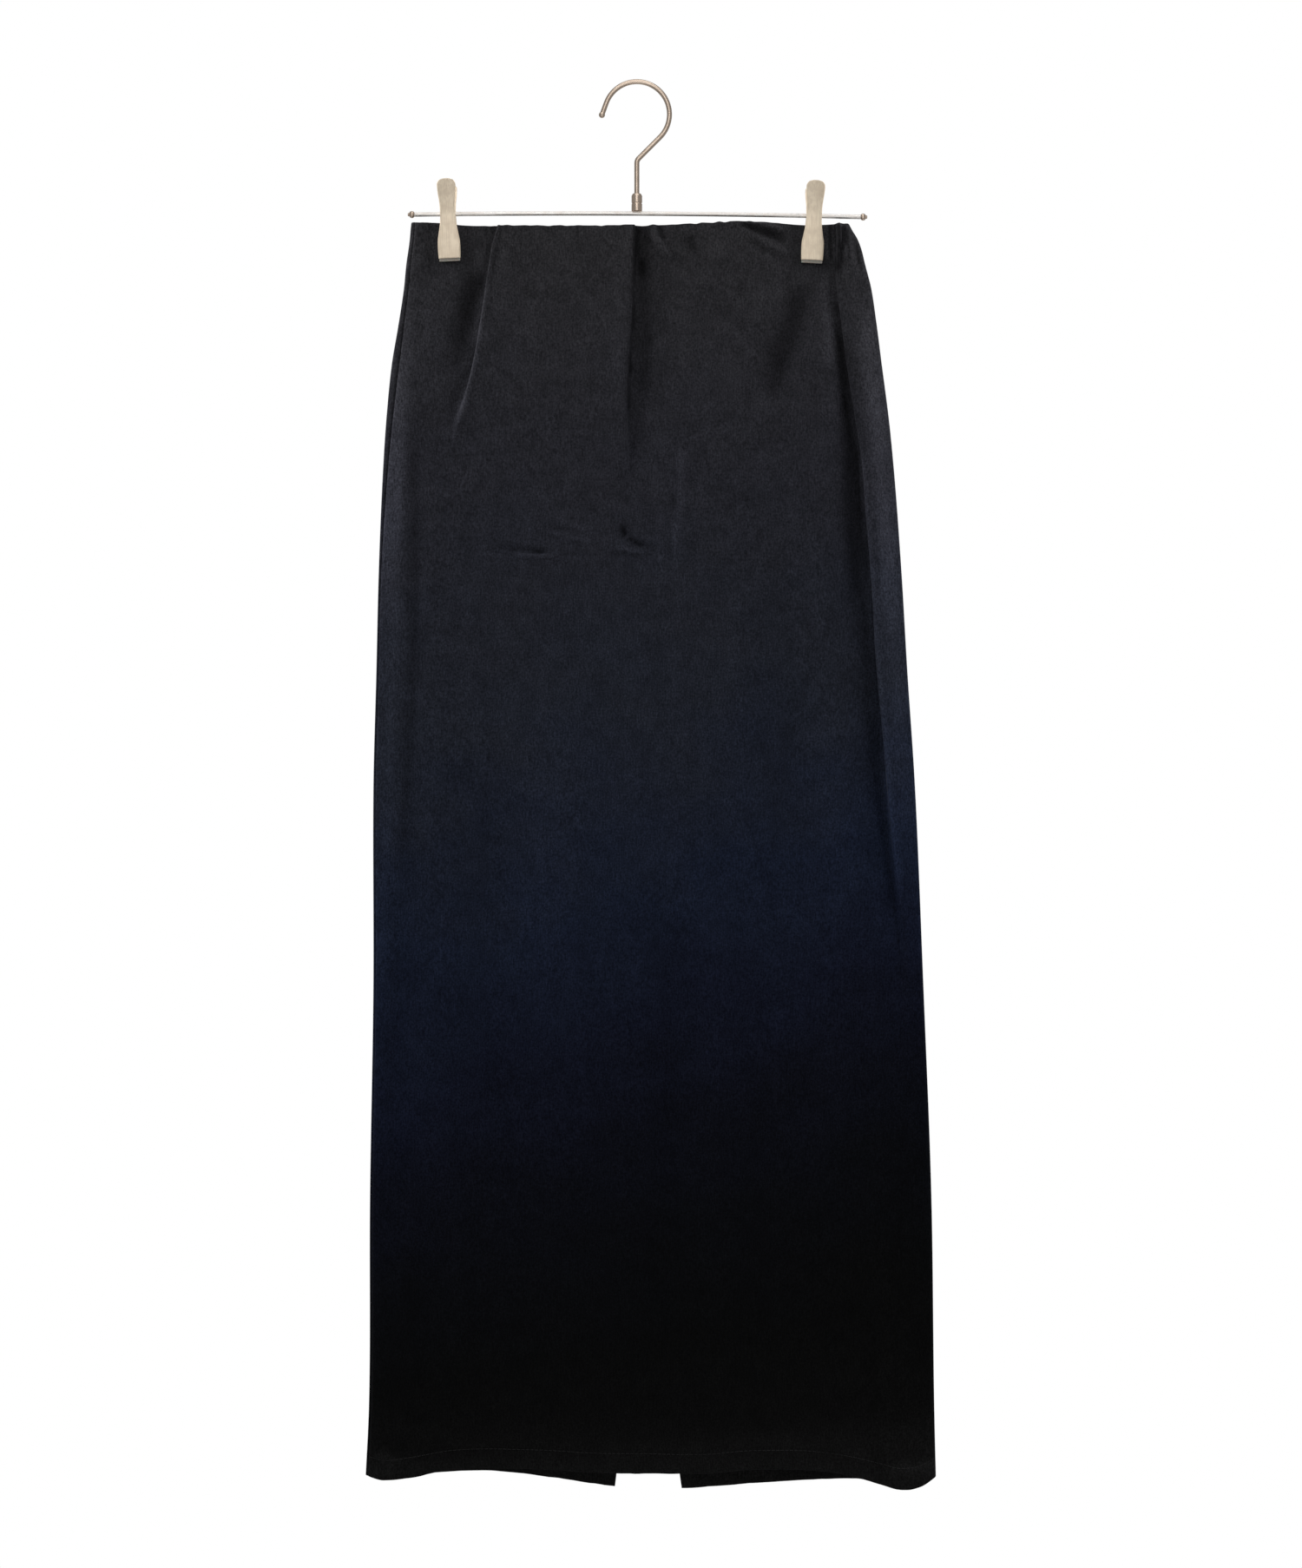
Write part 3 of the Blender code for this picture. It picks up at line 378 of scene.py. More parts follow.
BACK_CREASES = (
    Crease(((-162, -106), (-160, -118), (-164, -140)), 2.0, 2.4, 1.05, 9),
    Crease(((-118, -108), (-112, -124), (-104, -150)), 3.0, 3.6, -1.35, 12),
    Crease(((-96, -108), (-96, -126), (-100, -152)), 3.0, 3.0, 0.9, 12),
    Crease(((-72, -108), (-69, -122), (-70, -144)), 2.6, 3.2, -1.05, 10),
    Crease(((-44, -108), (-46, -128), (-52, -160)), 3.4, 4.0, 0.9, 14),
    Crease(((-22, -108), (-21, -121), (-24, -146)), 2.6, 2.8, -1.05, 11),
    Crease(((20, -108), (23, -124), (22, -150)), 2.8, 3.4, -1.2, 12),
    Crease(((41, -108), (44, -126), (50, -158)), 3.4, 3.4, 0.9, 14),
    Crease(((66, -107), (70, -122), (80, -146)), 2.8, 3.4, -1.2, 11),
    Crease(((88, -107), (95, -118), (108, -134)), 2.8, 3.2, -1.35, 11),
    Crease(((152, -108), (153, -122), (156, -146)), 1.8, 2.0, 1.35, 8),
    Crease(((-134, -150), (-128, -190), (-120, -240), (-116, -300)), 9, 11, 2.25, 36),
    Crease(((-152, -160), (-158, -220), (-164, -300)), 8, 7, 1.35, 40),
    Crease(((126, -150), (118, -190), (108, -250), (104, -310)), 10, 9, 2.4, 40),
    Crease(((146, -150), (152, -200), (160, -280)), 7, 9, 1.5, 40),
    Crease(((-60, -170), (-52, -300), (-58, -460)), 24, 20, -1.5, 90),
    Crease(((56, -180), (62, -330), (58, -520)), 22, 24, -1.5, 90),
    Crease(((-110, -340), (-104, -366), (-84, -382)), 2.0, 2.6, 1.2, 14),
    Crease(((-96, -330), (-76, -342), (-48, -345)), 1.5, 1.8, 0.75, 12),
    Crease(((30, -352), (60, -346), (92, -352)), 1.5, 1.9, 0.9, 14),
    Crease(((84, -362), (98, -366), (112, -364)), 1.3, 1.6, 0.9, 7),
    Crease(((-130, -420), (-134, -600), (-128, -820)), 15, 17, 1.35, 120),
    Crease(((-76, -520), (-70, -700), (-78, -930)), 17, 15, -1.2, 120),
    Crease(((74, -560), (80, -760), (76, -980)), 16, 18, 1.35, 120),
    Crease(((140, -380), (148, -560), (150, -800)), 15, 14, -1.35, 120),
    Crease(((172, -620), (180, -800), (186, -1000)), 9, 9, 1.2, 90),
    Crease(((-176, -560), (-182, -760), (-186, -980)), 8, 9, 1.2, 90),
    Crease(((-30, -780), (-24, -900), (-26, -1040)), 10, 12, 1.05, 70),
    Crease(((44, -790), (48, -900), (52, -1040)), 12, 10, 1.05, 70),
    Crease(((-150, -1026), (-130, -1024), (-104, -1026)), 3, 3, -0.6, 10),
    Crease(((110, -1030), (136, -1030), (160, -1032)), 3, 3, -0.6, 10),
)

# Painted shade and light alone on the back panels: same form, with no lift.
BACK_SHADE_STROKES = (
    # painted shade and light on the drag folds below the clips
    Crease(((-130, -142), (-122, -170), (-112, -205), (-106, -236)), 9, 8, -3.0, 26),
    Crease(((-143, -140), (-146, -180), (-150, -230)), 4, 5, 2.6, 18),
    Crease(((122, -142), (112, -175), (101, -212), (95, -240)), 9, 9, -3.2, 26),
    Crease(((141, -138), (144, -176), (149, -220)), 4, 4, 2.6, 16),
    # painted shade and light on the gathers along the waist
    Crease(((-112, -107), (-108, -122), (-101, -146)), 2.2, 2.8, -4.2, 9),
    Crease(((-96, -107), (-95, -120), (-97, -140)), 2.2, 2.2, 3.2, 8),
    Crease(((-70, -107), (-68, -124), (-70, -142)), 2.4, 2.6, -3.8, 9),
    Crease(((-44, -107), (-46, -128), (-51, -154)), 2.8, 3.0, 2.8, 12),
    Crease(((-21, -107), (-21, -121), (-24, -140)), 2.2, 2.4, -4.0, 9),
    Crease(((21, -107), (24, -124), (23, -146)), 2.2, 2.8, -4.2, 9),
    Crease(((42, -107), (44, -124), (49, -150)), 2.6, 2.6, 3.2, 10),
    Crease(((66, -106), (70, -122), (79, -142)), 2.2, 2.8, -4.4, 9),
    Crease(((88, -106), (95, -117), (106, -131)), 2.2, 2.8, -4.6, 8),
    # painted shade and light on soft upright folds, and on creases where the wearer sits
    Crease(((-60, -190), (-54, -300), (-58, -420)), 14, 10, -1.8, 70),
    Crease(((58, -200), (62, -330), (58, -480)), 12, 14, -1.8, 70),
    Crease(((-88, -240), (-84, -330), (-90, -450)), 9, 11, 1.4, 60),
    Crease(((-112, -338), (-104, -360), (-86, -376)), 2.0, 2.4, -3.4, 12),
    Crease(((-92, -330), (-74, -341), (-48, -344)), 1.7, 2.0, -3.0, 10),
    Crease(((-84, -334), (-66, -345), (-46, -348)), 1.7, 2.0, 2.0, 10),
    Crease(((32, -353), (60, -347), (90, -353)), 1.7, 2.0, -3.2, 12),
    Crease(((80, -363), (97, -367), (110, -365)), 1.6, 1.8, -3.0, 7),
)

# ---------------------------------------------------------------- hanger, from the part
# WIRE, BALL, FERRULE, BAR, CAP, NUB and SPRING are diameters; STEEL, PAD and EAR thicknesses.
FIT = 0.3               # gap between two pieces
WIRE = 3.8
HOOK_RADIUS = 24.4
HOOK_LEFT = 160.0       # where the bow runs out into the straight tip, in degrees
HOOK_TIP = 9.4          # length of that tip
HOOK_RIGHT = -45.0      # where the bow runs into the slant to the stem
HOOK_BEND = 5.0         # radius of the bend into the stem
BALL = 4.7
BALL_ARC = (8, 126)     # degrees from the ball's front to where it meets the wire
FERRULE_TOP = -82.0
FERRULE = 8.0
FERRULE_CHAMFER = 1.6
FERRULE_GROOVE = -89.2
GROOVE = 0.5
SOCKET = 5.0            # how deep the stem sits in the ferrule
BAR = 3.3
BAR_LEVEL = -96.9
BAR_SAG = 1.6           # how far the bar's ends lie below its middle
BAR_TILT = 0.9          # and how far it tilts down towards its right end
BAR_HALF = 167.0
CAP = 5.2
CAP_LENGTH = 3.6
NUB = 2.6
NUB_LENGTH = 1.3
HANGER_X = 0.5
STEEL = 1.0
PAD = 1.9
PAD_BELOW = 2.2         # how far a pad hangs below its jaw
PAD_HEIGHT = 11.0
PAD_WIDTH = 15.6
PAD_INNER = 1.28        # from the middle plane to a pad's inner face
EAR_RADIUS = 3.5
EAR_BORE = 4.6
EAR_SINK = 0.1          # how far an ear reaches past the middle of its jaw's plate
EAR = 1.0
EAR_OUTER = 5.6         # from a clip's middle to a front ear's outer face
SPRING = 8.0
SPRING_TURNS = 4
SPRING_WIRE = 1.2
SPRING_SPACING = 1.04   # from one turn to the next, in wires
SPRING_LEG = 12.0       # how high the spring's two legs reach
SPRING_SPLAY = 0.18     # how far a leg leans out for each millimetre up
JAW_CROWN = 0.35        # how far a plate bulges across its width
JAW_TOP = 5.0           # height of its round top
JAW_RIM = 0.5           # height over which it thins at its top and lip, and by what share
JAW_THINNING = 0.45
JAW_STEPS = 8           # points across half of its flat width
CURL = 0.9              # radius of the rims that curl back along a jaw's plate
CURL_TURN = 68.0        # and the angle they turn through
CENTRE = 0.2            # radius of the point that closes a turned piece

# Points round each kind of piece.
WIRE_SIDES = 32
TURNED_SIDES = 64
CAP_SIDES = 48
EAR_SIDES = 48
SPRING_SIDES = 12
SPRING_STEPS = 24
PAD_SIDES = 32

Jaw = namedtuple("Jaw", "z half out")
JAW = (
    Jaw(24.6, 2.6, 11.4), Jaw(24.0, 4.6, 11.2), Jaw(22.6, 6.2, 10.7), Jaw(20.4, 7.0, 10.0),
    Jaw(15.0, 6.7, 8.3), Jaw(8.0, 5.9, 6.3), Jaw(0.0, 5.7, 4.9), Jaw(-8.0, 6.2, 4.7),
    Jaw(-15.0, 7.4, 4.5), Jaw(-22.0, 8.4, 4.2), Jaw(-27.0, 8.4, 4.05), Jaw(-33.6, 8.1, 3.85),
)


# ---------------------------------------------------------------- small mathematics
def smooth_at(rows, where, column, key="z"):
    """A column of a table at any heights, on the part's smooth curve through its rows."""
    rows = sorted(rows, key=lambda row: getattr(row, key))
    xs = np.array([getattr(row, key) for row in rows], float)
    ys = np.array([getattr(row, column) for row in rows], float)
    where = np.clip(where, xs[0], xs[-1])
    i = np.clip(np.searchsorted(xs, where, side="right") - 1, 0, len(xs) - 2)
    slopes = np.diff(ys) / np.diff(xs)
    slope = slopes[i]
    before = slopes[np.maximum(i - 1, 0)]
    after = slopes[np.minimum(i + 1, len(slopes) - 1)]
    start = np.where(before * slope > 0, (before + slope) / 2, 0.0)
    end = np.where(after * slope > 0, (after + slope) / 2, 0.0)
    width = np.diff(xs)[i]
    t = (where - xs[i]) / width
    return (
        ys[i] * (1 + 2 * t) * (1 - t) ** 2
        + ys[i + 1] * t * t * (3 - 2 * t)
        + start * width * t * (1 - t) ** 2
        - end * width * t * t * (1 - t)
    )


def ease(value, zero, one):
    """0 at `zero`, 1 at `one`, with soft ends."""
    t = np.clip((value - zero) / (one - zero), 0.0, 1.0)
    return t * t * (3 - 2 * t)


def uneven(where, spacing, seed):
    """Smooth uneven values from -1 to 1 along a line, about `spacing` apart."""
    steps = np.random.RandomState(seed).uniform(-1, 1, 4096)
    at = np.asarray(where) / spacing + 2000.0
    i = np.floor(at).astype(int)
    t = at - i
    t = t * t * (3 - 2 * t)
    return steps[i] * (1 - t) + steps[i + 1] * t


def uneven_sheet(x, z, spacing, seed):
    """Smooth uneven values from -1 to 1 over a sheet."""
    steps = np.random.RandomState(seed).uniform(-1, 1, (256, 256))
    u, v = x / spacing + 128.0, z / spacing + 128.0
    i, j = np.floor(u).astype(int), np.floor(v).astype(int)
    s, t = u - i, v - j
    s, t = s * s * (3 - 2 * s), t * t * (3 - 2 * t)
    low = steps[i, j] * (1 - s) + steps[i + 1, j] * s
    high = steps[i, j + 1] * (1 - s) + steps[i + 1, j + 1] * s
    return low * (1 - t) + high * t


# ---------------------------------------------------------------- cloth sections
def tube_at(z):
    """The tube's outline at a height."""
    return Outline(z, *(float(smooth_at(OUTLINE, z, c)) for c in Outline._fields[1:]))


def grip(x, z):
    """1 where a clip holds front and back together, 0 where the cloth hangs free."""
    held = np.zeros_like(x)
    for clip in CLIPS:
        away = (x - clip.x) * clip.outward
        reach = np.where(away > 0, PINCH_OUT, PINCH_IN)
        held = np.maximum(held, ease(np.abs(away), reach, PINCH_FULL))
    return held * ease(z, PINCH_END, PINCH_LOW)


def half_depth(x, tube):
    """Distance of a plain wall's middle from the tube's middle plane."""
    half = (tube.right - tube.left) / 2
    across = np.minimum(np.abs((x - tube.left) / half - 1), 1.0)
    deep = tube.depth / 2
    power = 2 * half * EDGE_ROUND / deep ** 2
    free = deep * np.sqrt(1 - across ** power)
    leaning = ease(tube.z, *LEAN_ENDS) * ease(tube.z, *LEAN_TOP)
    for lean in LEANS:
        near = 1 - np.minimum(np.abs(x - getattr(tube, lean.side)) / lean.width, 1.0)
        free *= 1 - lean.amount * leaning * near ** LEAN_POWER
    held = grip(x, tube.z)
    return free * (1 - held) + HELD * held


def tuck_curve(rows, side, z):
    """Points of a tuck at a height, x and lift, from left to right along the cloth."""
    turn = math.radians(float(smooth_at(rows, z, "turn")))
    under = max(float(smooth_at(rows, z, "under")), FOLD_LEAST)
    step = math.pi * FOLD_ROUND / TURN_STEPS
    angles = [turn * (i + 0.5) / TURN_STEPS for i in range(TURN_STEPS)]
    steps = [(angle, step) for angle in angles]
    steps += [(turn, under / 2)] * 2
    steps += [(angle, step) for angle in reversed(angles)]
    x = np.cumsum([0.0] + [length * math.cos(angle) for angle, length in steps])
    lift = np.cumsum([0.0] + [length * math.sin(angle) for angle, length in steps])
    fold_edge = x[TURN_STEPS + 2:].min()
    edge = float(smooth_at(rows, z, "edge"))
    if side > 0:
        return x - fold_edge + edge, lift
    return (fold_edge - x + edge)[::-1], lift[::-1]


def halved(steps):
    """Shares from 0 to just under 1 in double steps, and which of them are coarse."""
    shares = np.arange(2 * steps) / (2 * steps)
    return shares, np.arange(2 * steps) % 2 == 0


def front_section(z):
    """The front from the left side seam to the right edge: x, y, and which are coarse."""
    tube = tube_at(z)
    start = tube.left + tube.seam
    curves = [tuck_curve(rows, side, z) for rows, side in TUCKS]
    offsets = [
        FOLD_DIP * lift.max() * (1 - grip(x, z)) - lift for x, lift in curves
    ]

    def plain(x, passed):
        total = np.zeros_like(x)
        for k, ((fold, lift), offset) in enumerate(zip(curves, offsets)):
            if k < passed:
                away, amount, room = x - fold[-1], offset[-1], tube.right - fold[-1]
            else:
                away, amount, room = fold[0] - x, offset[0], fold[0] - start
            total += amount * np.exp(-away / FOLD_REACH) * np.maximum(1 - away / room, 0)
        return -half_depth(x, tube) + total * (1 - grip(x, z))

    xs, ys, coarse = [], [], []
    shares, keep = halved(LEFT_STEPS)
    x = start + (curves[0][0][0] - start) * shares ** LEFT_CROWDING
    xs.append(x)
    ys.append(plain(x, 0))
    coarse.append(keep)
    for k, ((fold, lift), offset) in enumerate(zip(curves, offsets)):
        xs.append(fold)
        ys.append(-half_depth(fold, tube) + offset)
        coarse.append(np.ones(len(fold), bool))
        if k + 1 < len(curves):
            shares, keep = halved(BETWEEN_STEPS[k])
            end = curves[k + 1][0][0]
            x = (fold[-1] + (end - fold[-1]) * shares)[1:]
            xs.append(x)
            ys.append(plain(x, k + 1))
            coarse.append(keep[1:])
    span = tube.right - curves[-1][0][-1]
    shares, keep = halved(RIGHT_STEPS)
    x = tube.right - span * (1 - np.cos(math.pi / 2 * (1 - np.append(shares[1:], 1.0))))
    xs.append(x)
    ys.append(plain(x, len(curves)))
    coarse.append(np.append(keep[1:], True))
    return np.concatenate(xs), np.concatenate(ys), np.concatenate(coarse)


def back_edge(z, side):
    """x of a back panel's inner edge: the centre-back seam, then the slit."""
    share = (WAIST_LEVEL - z) / (WAIST_LEVEL - HEM_LEVEL)
    seam = BACK_SEAM_TOP + (BACK_SEAM_HEM - BACK_SEAM_TOP) * share
    opened = max((HEM_LEVEL + SLIT_LENGTH - z) / SLIT_LENGTH, 0.0)
    return seam + side * SLIT_WIDTH / 2 * opened ** SLIT_FLARE


def back_section(z, side):
    """A back panel from its side seam to its inner edge; side -1 is the left one."""
    tube = tube_at(z)
    edge = tube.left if side < 0 else tube.right
    span = abs(back_edge(z, side) - edge)
    xs, ys, coarse = [], [], []
    if side < 0:
        shares, keep = halved(WRAP_STEPS)
        x = edge + tube.seam * (1 - shares) ** 2
        xs.append(x)
        ys.append(-half_depth(x, tube))
        coarse.append(keep)
    shares, keep = halved(BACK_STEPS)
    shares = np.append(shares, 1.0)
    # points crowd towards the side seam, where the tube turns
    x = edge - side * span * (0.25 * shares ** 3 + 0.75 * shares ** 1.8 * (1.9 - 0.9 * shares))
    xs.append(x)
    ys.append(half_depth(x, tube))
    coarse.append(np.append(keep, True))
    return np.concatenate(xs), np.concatenate(ys), np.concatenate(coarse)


# ---------------------------------------------------------------- cloth surface
def row_levels():
    """Heights of the cloth's rows, from the waist to the hem."""
    levels = []
    for band in BANDS:
        count = max(round((band.top - band.bottom) / band.step), 1)
        levels += list(np.linspace(band.top, band.bottom, count, endpoint=False))
    return np.array(levels + [BANDS[-1].bottom])


LEVELS = row_levels()


def smooth_line(points, parts=5):
    """A polyline with smooth bends through the given points."""
    points = np.array(points, float)
    padded = np.vstack((2 * points[0] - points[1], points, 2 * points[-1] - points[-2]))
    line = []
    for i in range(1, len(padded) - 2):
        a, b, c, d = padded[i - 1:i + 3]
        for t in np.arange(parts) / parts:
            line.append(
                b + (c - a) * t / 2 + (2 * a - 5 * b + 4 * c - d) * t ** 2 / 2
                + (3 * b - a - 3 * c + d) * t ** 3 / 2
            )
    return np.array(line + [points[-1]])


def crease_lift(x, z, creases):
    """Sum of what the creases lift the cloth by, at each point."""
    total = np.zeros_like(x)
    for crease in creases:
        line = smooth_line(crease.points)
        reach = CREASE_REACH * max(crease.left, crease.right)
        near = (
            (x > line[:, 0].min() - reach) & (x < line[:, 0].max() + reach)
            & (z > line[:, 1].min() - reach) & (z < line[:, 1].max() + reach)
        )
        px, pz = x[near], z[near]
        away, side, run = np.full(px.shape, 1e9), np.zeros_like(px), np.zeros_like(px)
        length = 0.0
        for (ax, az), (bx, bz) in zip(line, line[1:]):
            dx, dz = bx - ax, bz - az
            step = math.hypot(dx, dz)
            t = np.clip(((px - ax) * dx + (pz - az) * dz) / step ** 2, 0, 1)
            ox, oz = px - ax - t * dx, pz - az - t * dz
            gap = np.hypot(ox, oz)
            closer = gap < away
            away = np.where(closer, gap, away)
            side = np.where(closer, dx * oz - dz * ox, side)
            run = np.where(closer, length + t * step, run)
            length += step
        width = np.where(side > 0, crease.right, crease.left)
        amount = crease.lift * np.exp(-((away / width) ** 2))
        if line[0, 1] < WAIST_LEVEL - RUN_OFF:
            amount *= ease(run, 0, crease.fade)
        if line[-1, 1] > HEM_LEVEL + RUN_OFF:
            amount *= ease(length - run, 0, crease.fade)
        total[near] += amount
    return total


def ripple(x, away, row, seed):
    """Unevenness along x that dies away from a rim."""
    return np.exp(-away / row.reach) * row.lift * uneven(x, row.spacing, seed)


def panel_rows(section, panel):
    """Middle of a panel's wall before its creases, and which of its columns are coarse."""
    rows = []
    for z in LEVELS:
        x, y, coarse = section(z)
        waist = smooth_at(WAIST_EDGE, x, "z", "x") - WAIST_LEVEL
        low = smooth_at(panel.hem, x, "z", "x") - HEM_LEVEL
        level = (
            z + waist * ease(z, WAIST_LEVEL - WAIST_BAND, WAIST_LEVEL)
            + low * ease(z, HEM_LEVEL + HEM_BAND, HEM_LEVEL)
        )
        rows.append(np.column_stack((x, y, level)))
    grid = np.array(rows)
    for end, inner in ((0, 1), (-1, -2)):
        step = grid[:, inner] - grid[:, end]
        grid[:, end] += step / np.linalg.norm(step, axis=1, keepdims=True) * SEAM_GAP / 2
    return grid, coarse


def panel_grid(section, panel):
    """Middle of a panel's wall: its points, coarse columns, free places and painted shade."""
    grid, coarse = panel_rows(section, panel)
    x, y, z = grid[:, :, 0], grid[:, :, 1], grid[:, :, 2]
    below = (WAIST_LEVEL - LEVELS)[:, None]
    above = (LEVELS - HEM_LEVEL)[:, None]
    free = 1 - np.array([grip(row[:, 0], level) for row, level in zip(grid, LEVELS)])

    # gathered most to the right of the right clip, then between the centre tuck and that clip
    gathered = 0.75 + 0.75 * ease(x, 138, 148) + 0.35 * ease(x, 0, 10) * ease(x, 120, 100)
    seeds = itertools.count(panel.seed)
    lift = sum(ripple(x, below, row, next(seeds)) for row in WAIST_RIPPLES)
    lift *= gathered * free
    creased = crease_lift(x, z, panel.creases)
    lift += creased
    for swell in SWELLS:
        lift += swell.lift * uneven_sheet(x, z * swell.upright, swell.spacing, next(seeds))
    stitch = above - HEM_TURN
    pull = 0.75 + 0.45 * uneven(x, STITCH_PULL.spacing, next(seeds))
    lift -= STITCH_PULL.lift * pull * np.exp(-((stitch / STITCH_PULL.reach) ** 2))
    ridge = (stitch - STITCH_RIDGE_ABOVE) / STITCH_RIDGE_WIDTH
    lift += STITCH_RIDGE * pull * np.exp(-(ridge ** 2))
    for row in HEM_RIPPLES:
        lift += ripple(x, above, row, next(seeds))
    room = np.maximum(np.abs(y) - HELD, 0.05)
    lift = np.where(lift < 0, -room * (1 - np.exp(lift / room)), lift * ease(free, 0, 0.3))
    grid[:, :, 1] += lift * np.sign(y)
    grid[:, :, 2] += free * gathered * ripple(x, below, WAIST_RUFFLE, next(seeds))
    grid[:, :, 2] += ripple(x, above, HEM_RUFFLE, next(seeds))
    # painted shade and light, from the creases' lift and the shade strokes
    shade_lift = creased + crease_lift(x, z, panel.strokes)
    return grid, coarse, free, np.clip(1 + PAINTED_SHADE_TURN * shade_lift, *PAINTED_SHADE_LIMITS)


def wall_faces(grid, free, turn, slit_side=0):
    """Outer and inner face of a panel's wall, thinned at its rims and thick where turned."""
    across = np.gradient(grid, axis=1)
    down = np.gradient(grid, axis=0)
    normal = np.cross(down, across) * turn
    normal /= np.linalg.norm(normal, axis=2, keepdims=True)
    below = (WAIST_LEVEL - LEVELS)[:, None]
    above = (LEVELS - HEM_LEVEL)[:, None]
    step = np.linalg.norm(np.diff(grid[:, :, :2], axis=1), axis=2)
    along = np.concatenate((np.zeros((len(grid), 1)), np.cumsum(step, axis=1)), axis=1)
    first, last = along, along[:, -1:] - along
    edge = np.minimum(np.minimum(first, last), np.minimum(below, above) + RIM_INSET)
    rim = np.sqrt(np.clip(1 - (1 - np.clip(edge / RIM, RIM_LEAST, 1)) ** 2, 0, 1))
    turned = np.maximum(ease(below, CASING, CASING - 1), ease(above, HEM_TURN, HEM_TURN - 1))
    if slit_side:
        turned = np.maximum(turned, ease(last, SLIT_TURN + 1, SLIT_TURN))
    bend = np.abs(np.gradient(np.arctan2(across[:, :, 1], across[:, :, 0]), axis=1))
    bend = np.where(bend > math.pi / 2, 0, bend) / np.maximum(np.gradient(along, axis=1), 0.05)
    tight = bend > TIGHT_BEND
    for _ in range(TIGHT_SPREAD):
        tight[:, 1:] |= tight[:, :-1]
        tight[:, :-1] |= tight[:, 1:]
    turned = np.where(tight, 0.0, turned) * free
    sunk = SEAM_SINK * np.exp(-((np.minimum(first, last) / SEAM_SINK_WIDTH) ** 2))
    outer = grid + normal * (CLOTH / 2 * rim - sunk)[:, :, None]
    inner = grid - normal * ((CLOTH / 2 + TURNED * turned) * rim + sunk)[:, :, None]
    return outer, inner


def wall_mesh(name, outer, inner, coarse, painted_shade):
    """A closed mesh from both faces; rows under the waist's band keep the coarse columns."""
    fine = LEVELS > FINE_LEVEL - 0.01
    everything = np.ones_like(coarse)
    vertices, faces, numbers, shade_lifts = [], [], [], []
    for face in (outer, inner):
        ids = []
        for i, row in enumerate(face):
            keep = everything if fine[i] else coarse
            line = np.full(len(row), -1)
            line[keep] = len(vertices) + np.arange(keep.sum())
            vertices.extend(map(tuple, row[keep] * MM))
            # the painted shade of each kept point
            shade_lifts.extend(painted_shade[i, keep])
            ids.append(line)
        numbers.append(ids)
    for layer, ids in enumerate(numbers):
        for above, below in zip(ids, ids[1:]):
            kept = np.flatnonzero(below >= 0)
            for a, b in zip(kept, kept[1:]):
                upper = above[a:b + 1]
                corners = [int(v) for v in upper[upper >= 0]] + [int(below[b]), int(below[a])]
                faces.append(corners if layer else corners[::-1])
    out, into = numbers
    rims = [(i[i >= 0], j[j >= 0]) for i, j in ((out[0], into[0]), (out[-1], into[-1]))]
    rims += [(np.array([r[c] for r in out]), np.array([r[c] for r in into])) for c in (0, -1)]
    for i, j in rims:
        for k in range(len(i) - 1):
            faces.append([int(i[k]), int(i[k + 1]), int(j[k + 1]), int(j[k])])
    data = closed_mesh(name, vertices, faces)
    # the painted shade, kept on the points for the cloth's material
    data.attributes.new(PAINTED_SHADE, "FLOAT", "POINT").data.foreach_set("value", shade_lifts)
    return data


# ---------------------------------------------------------------- round and flat pieces
def ring_faces(rings, size, closed=False, first=0):
    """Faces through rings of points, numbered from `first`, capped or closed on themselves."""
    starts = [first + ring * size for ring in range(rings)]
    after = starts[1:] + starts[:1] if closed else starts[1:]
    faces = []
    for a, b in zip(starts, after):
        for k in range(size):
            j = (k + 1) % size
            faces.append((a + k, a + j, b + j, b + k))
    if not closed:
        faces += [tuple(range(start, start + size)) for start in (starts[0], starts[-1])]
    return faces


def closed_mesh(name, vertices, faces):
    """A mesh with its faces turned to point out."""
    data = bpy.data.meshes.new(name)
    data.from_pydata(vertices, [], faces)
    mesh = bmesh.new()
    mesh.from_mesh(data)
    bmesh.ops.recalc_face_normals(mesh, faces=mesh.faces)
    mesh.to_mesh(data)
    mesh.free()
    return data


def ringed(rings, closed=False):
    """A mesh through rings of points, capped at both ends or closed on itself."""
    rings = [list(ring) for ring in rings]
    vertices = [tuple(np.array(point) * MM) for ring in rings for point in ring]
    return closed_mesh("rings", vertices, ring_faces(len(rings), len(rings[0]), closed))


def tube_rings(path, radii, sides):
    """Rings round a path, without twist."""
    path = np.array(path, float)
    along = np.gradient(path, axis=0)
    along /= np.linalg.norm(along, axis=1, keepdims=True)
    angles = 2 * math.pi * np.arange(sides) / sides
    # no path here starts along this direction
    side = np.cross(along[0], (0.0, 1.0, 0.01))
    rings = []
    for point, forward, radius in zip(path, along, np.broadcast_to(radii, len(path))):
        side = side - forward * side.dot(forward)
        side = side / np.linalg.norm(side)
        up = np.cross(forward, side)
        rings.append(
            point + radius * (np.outer(np.cos(angles), side) + np.outer(np.sin(angles), up))
        )
    return rings


def turned_rings(profile, sides):
    """Rings round the Z axis from radii and heights."""
    angles = 2 * math.pi * np.arange(sides) / sides
    return [
        [(radius * math.cos(a), radius * math.sin(a), height) for a in angles]
        for radius, height in profile
    ]


def rounded(profile, radius, steps=5):
    """A profile with each corner replaced by a small arc-like bend."""
    points = [np.array(point, float) for point in profile]
    line = [points[0]]
    for before, corner, after in zip(points, points[1:], points[2:]):
        into, out = before - corner, after - corner
        reach = min(radius, np.linalg.norm(into) / 2.05, np.linalg.norm(out) / 2.05)
        a = corner + into / np.linalg.norm(into) * reach
        b = corner + out / np.linalg.norm(out) * reach
        for t in np.linspace(0, 1, steps):
            line.append(a * (1 - t) ** 2 + 2 * corner * t * (1 - t) + b * t ** 2)
    return line + [points[-1]]


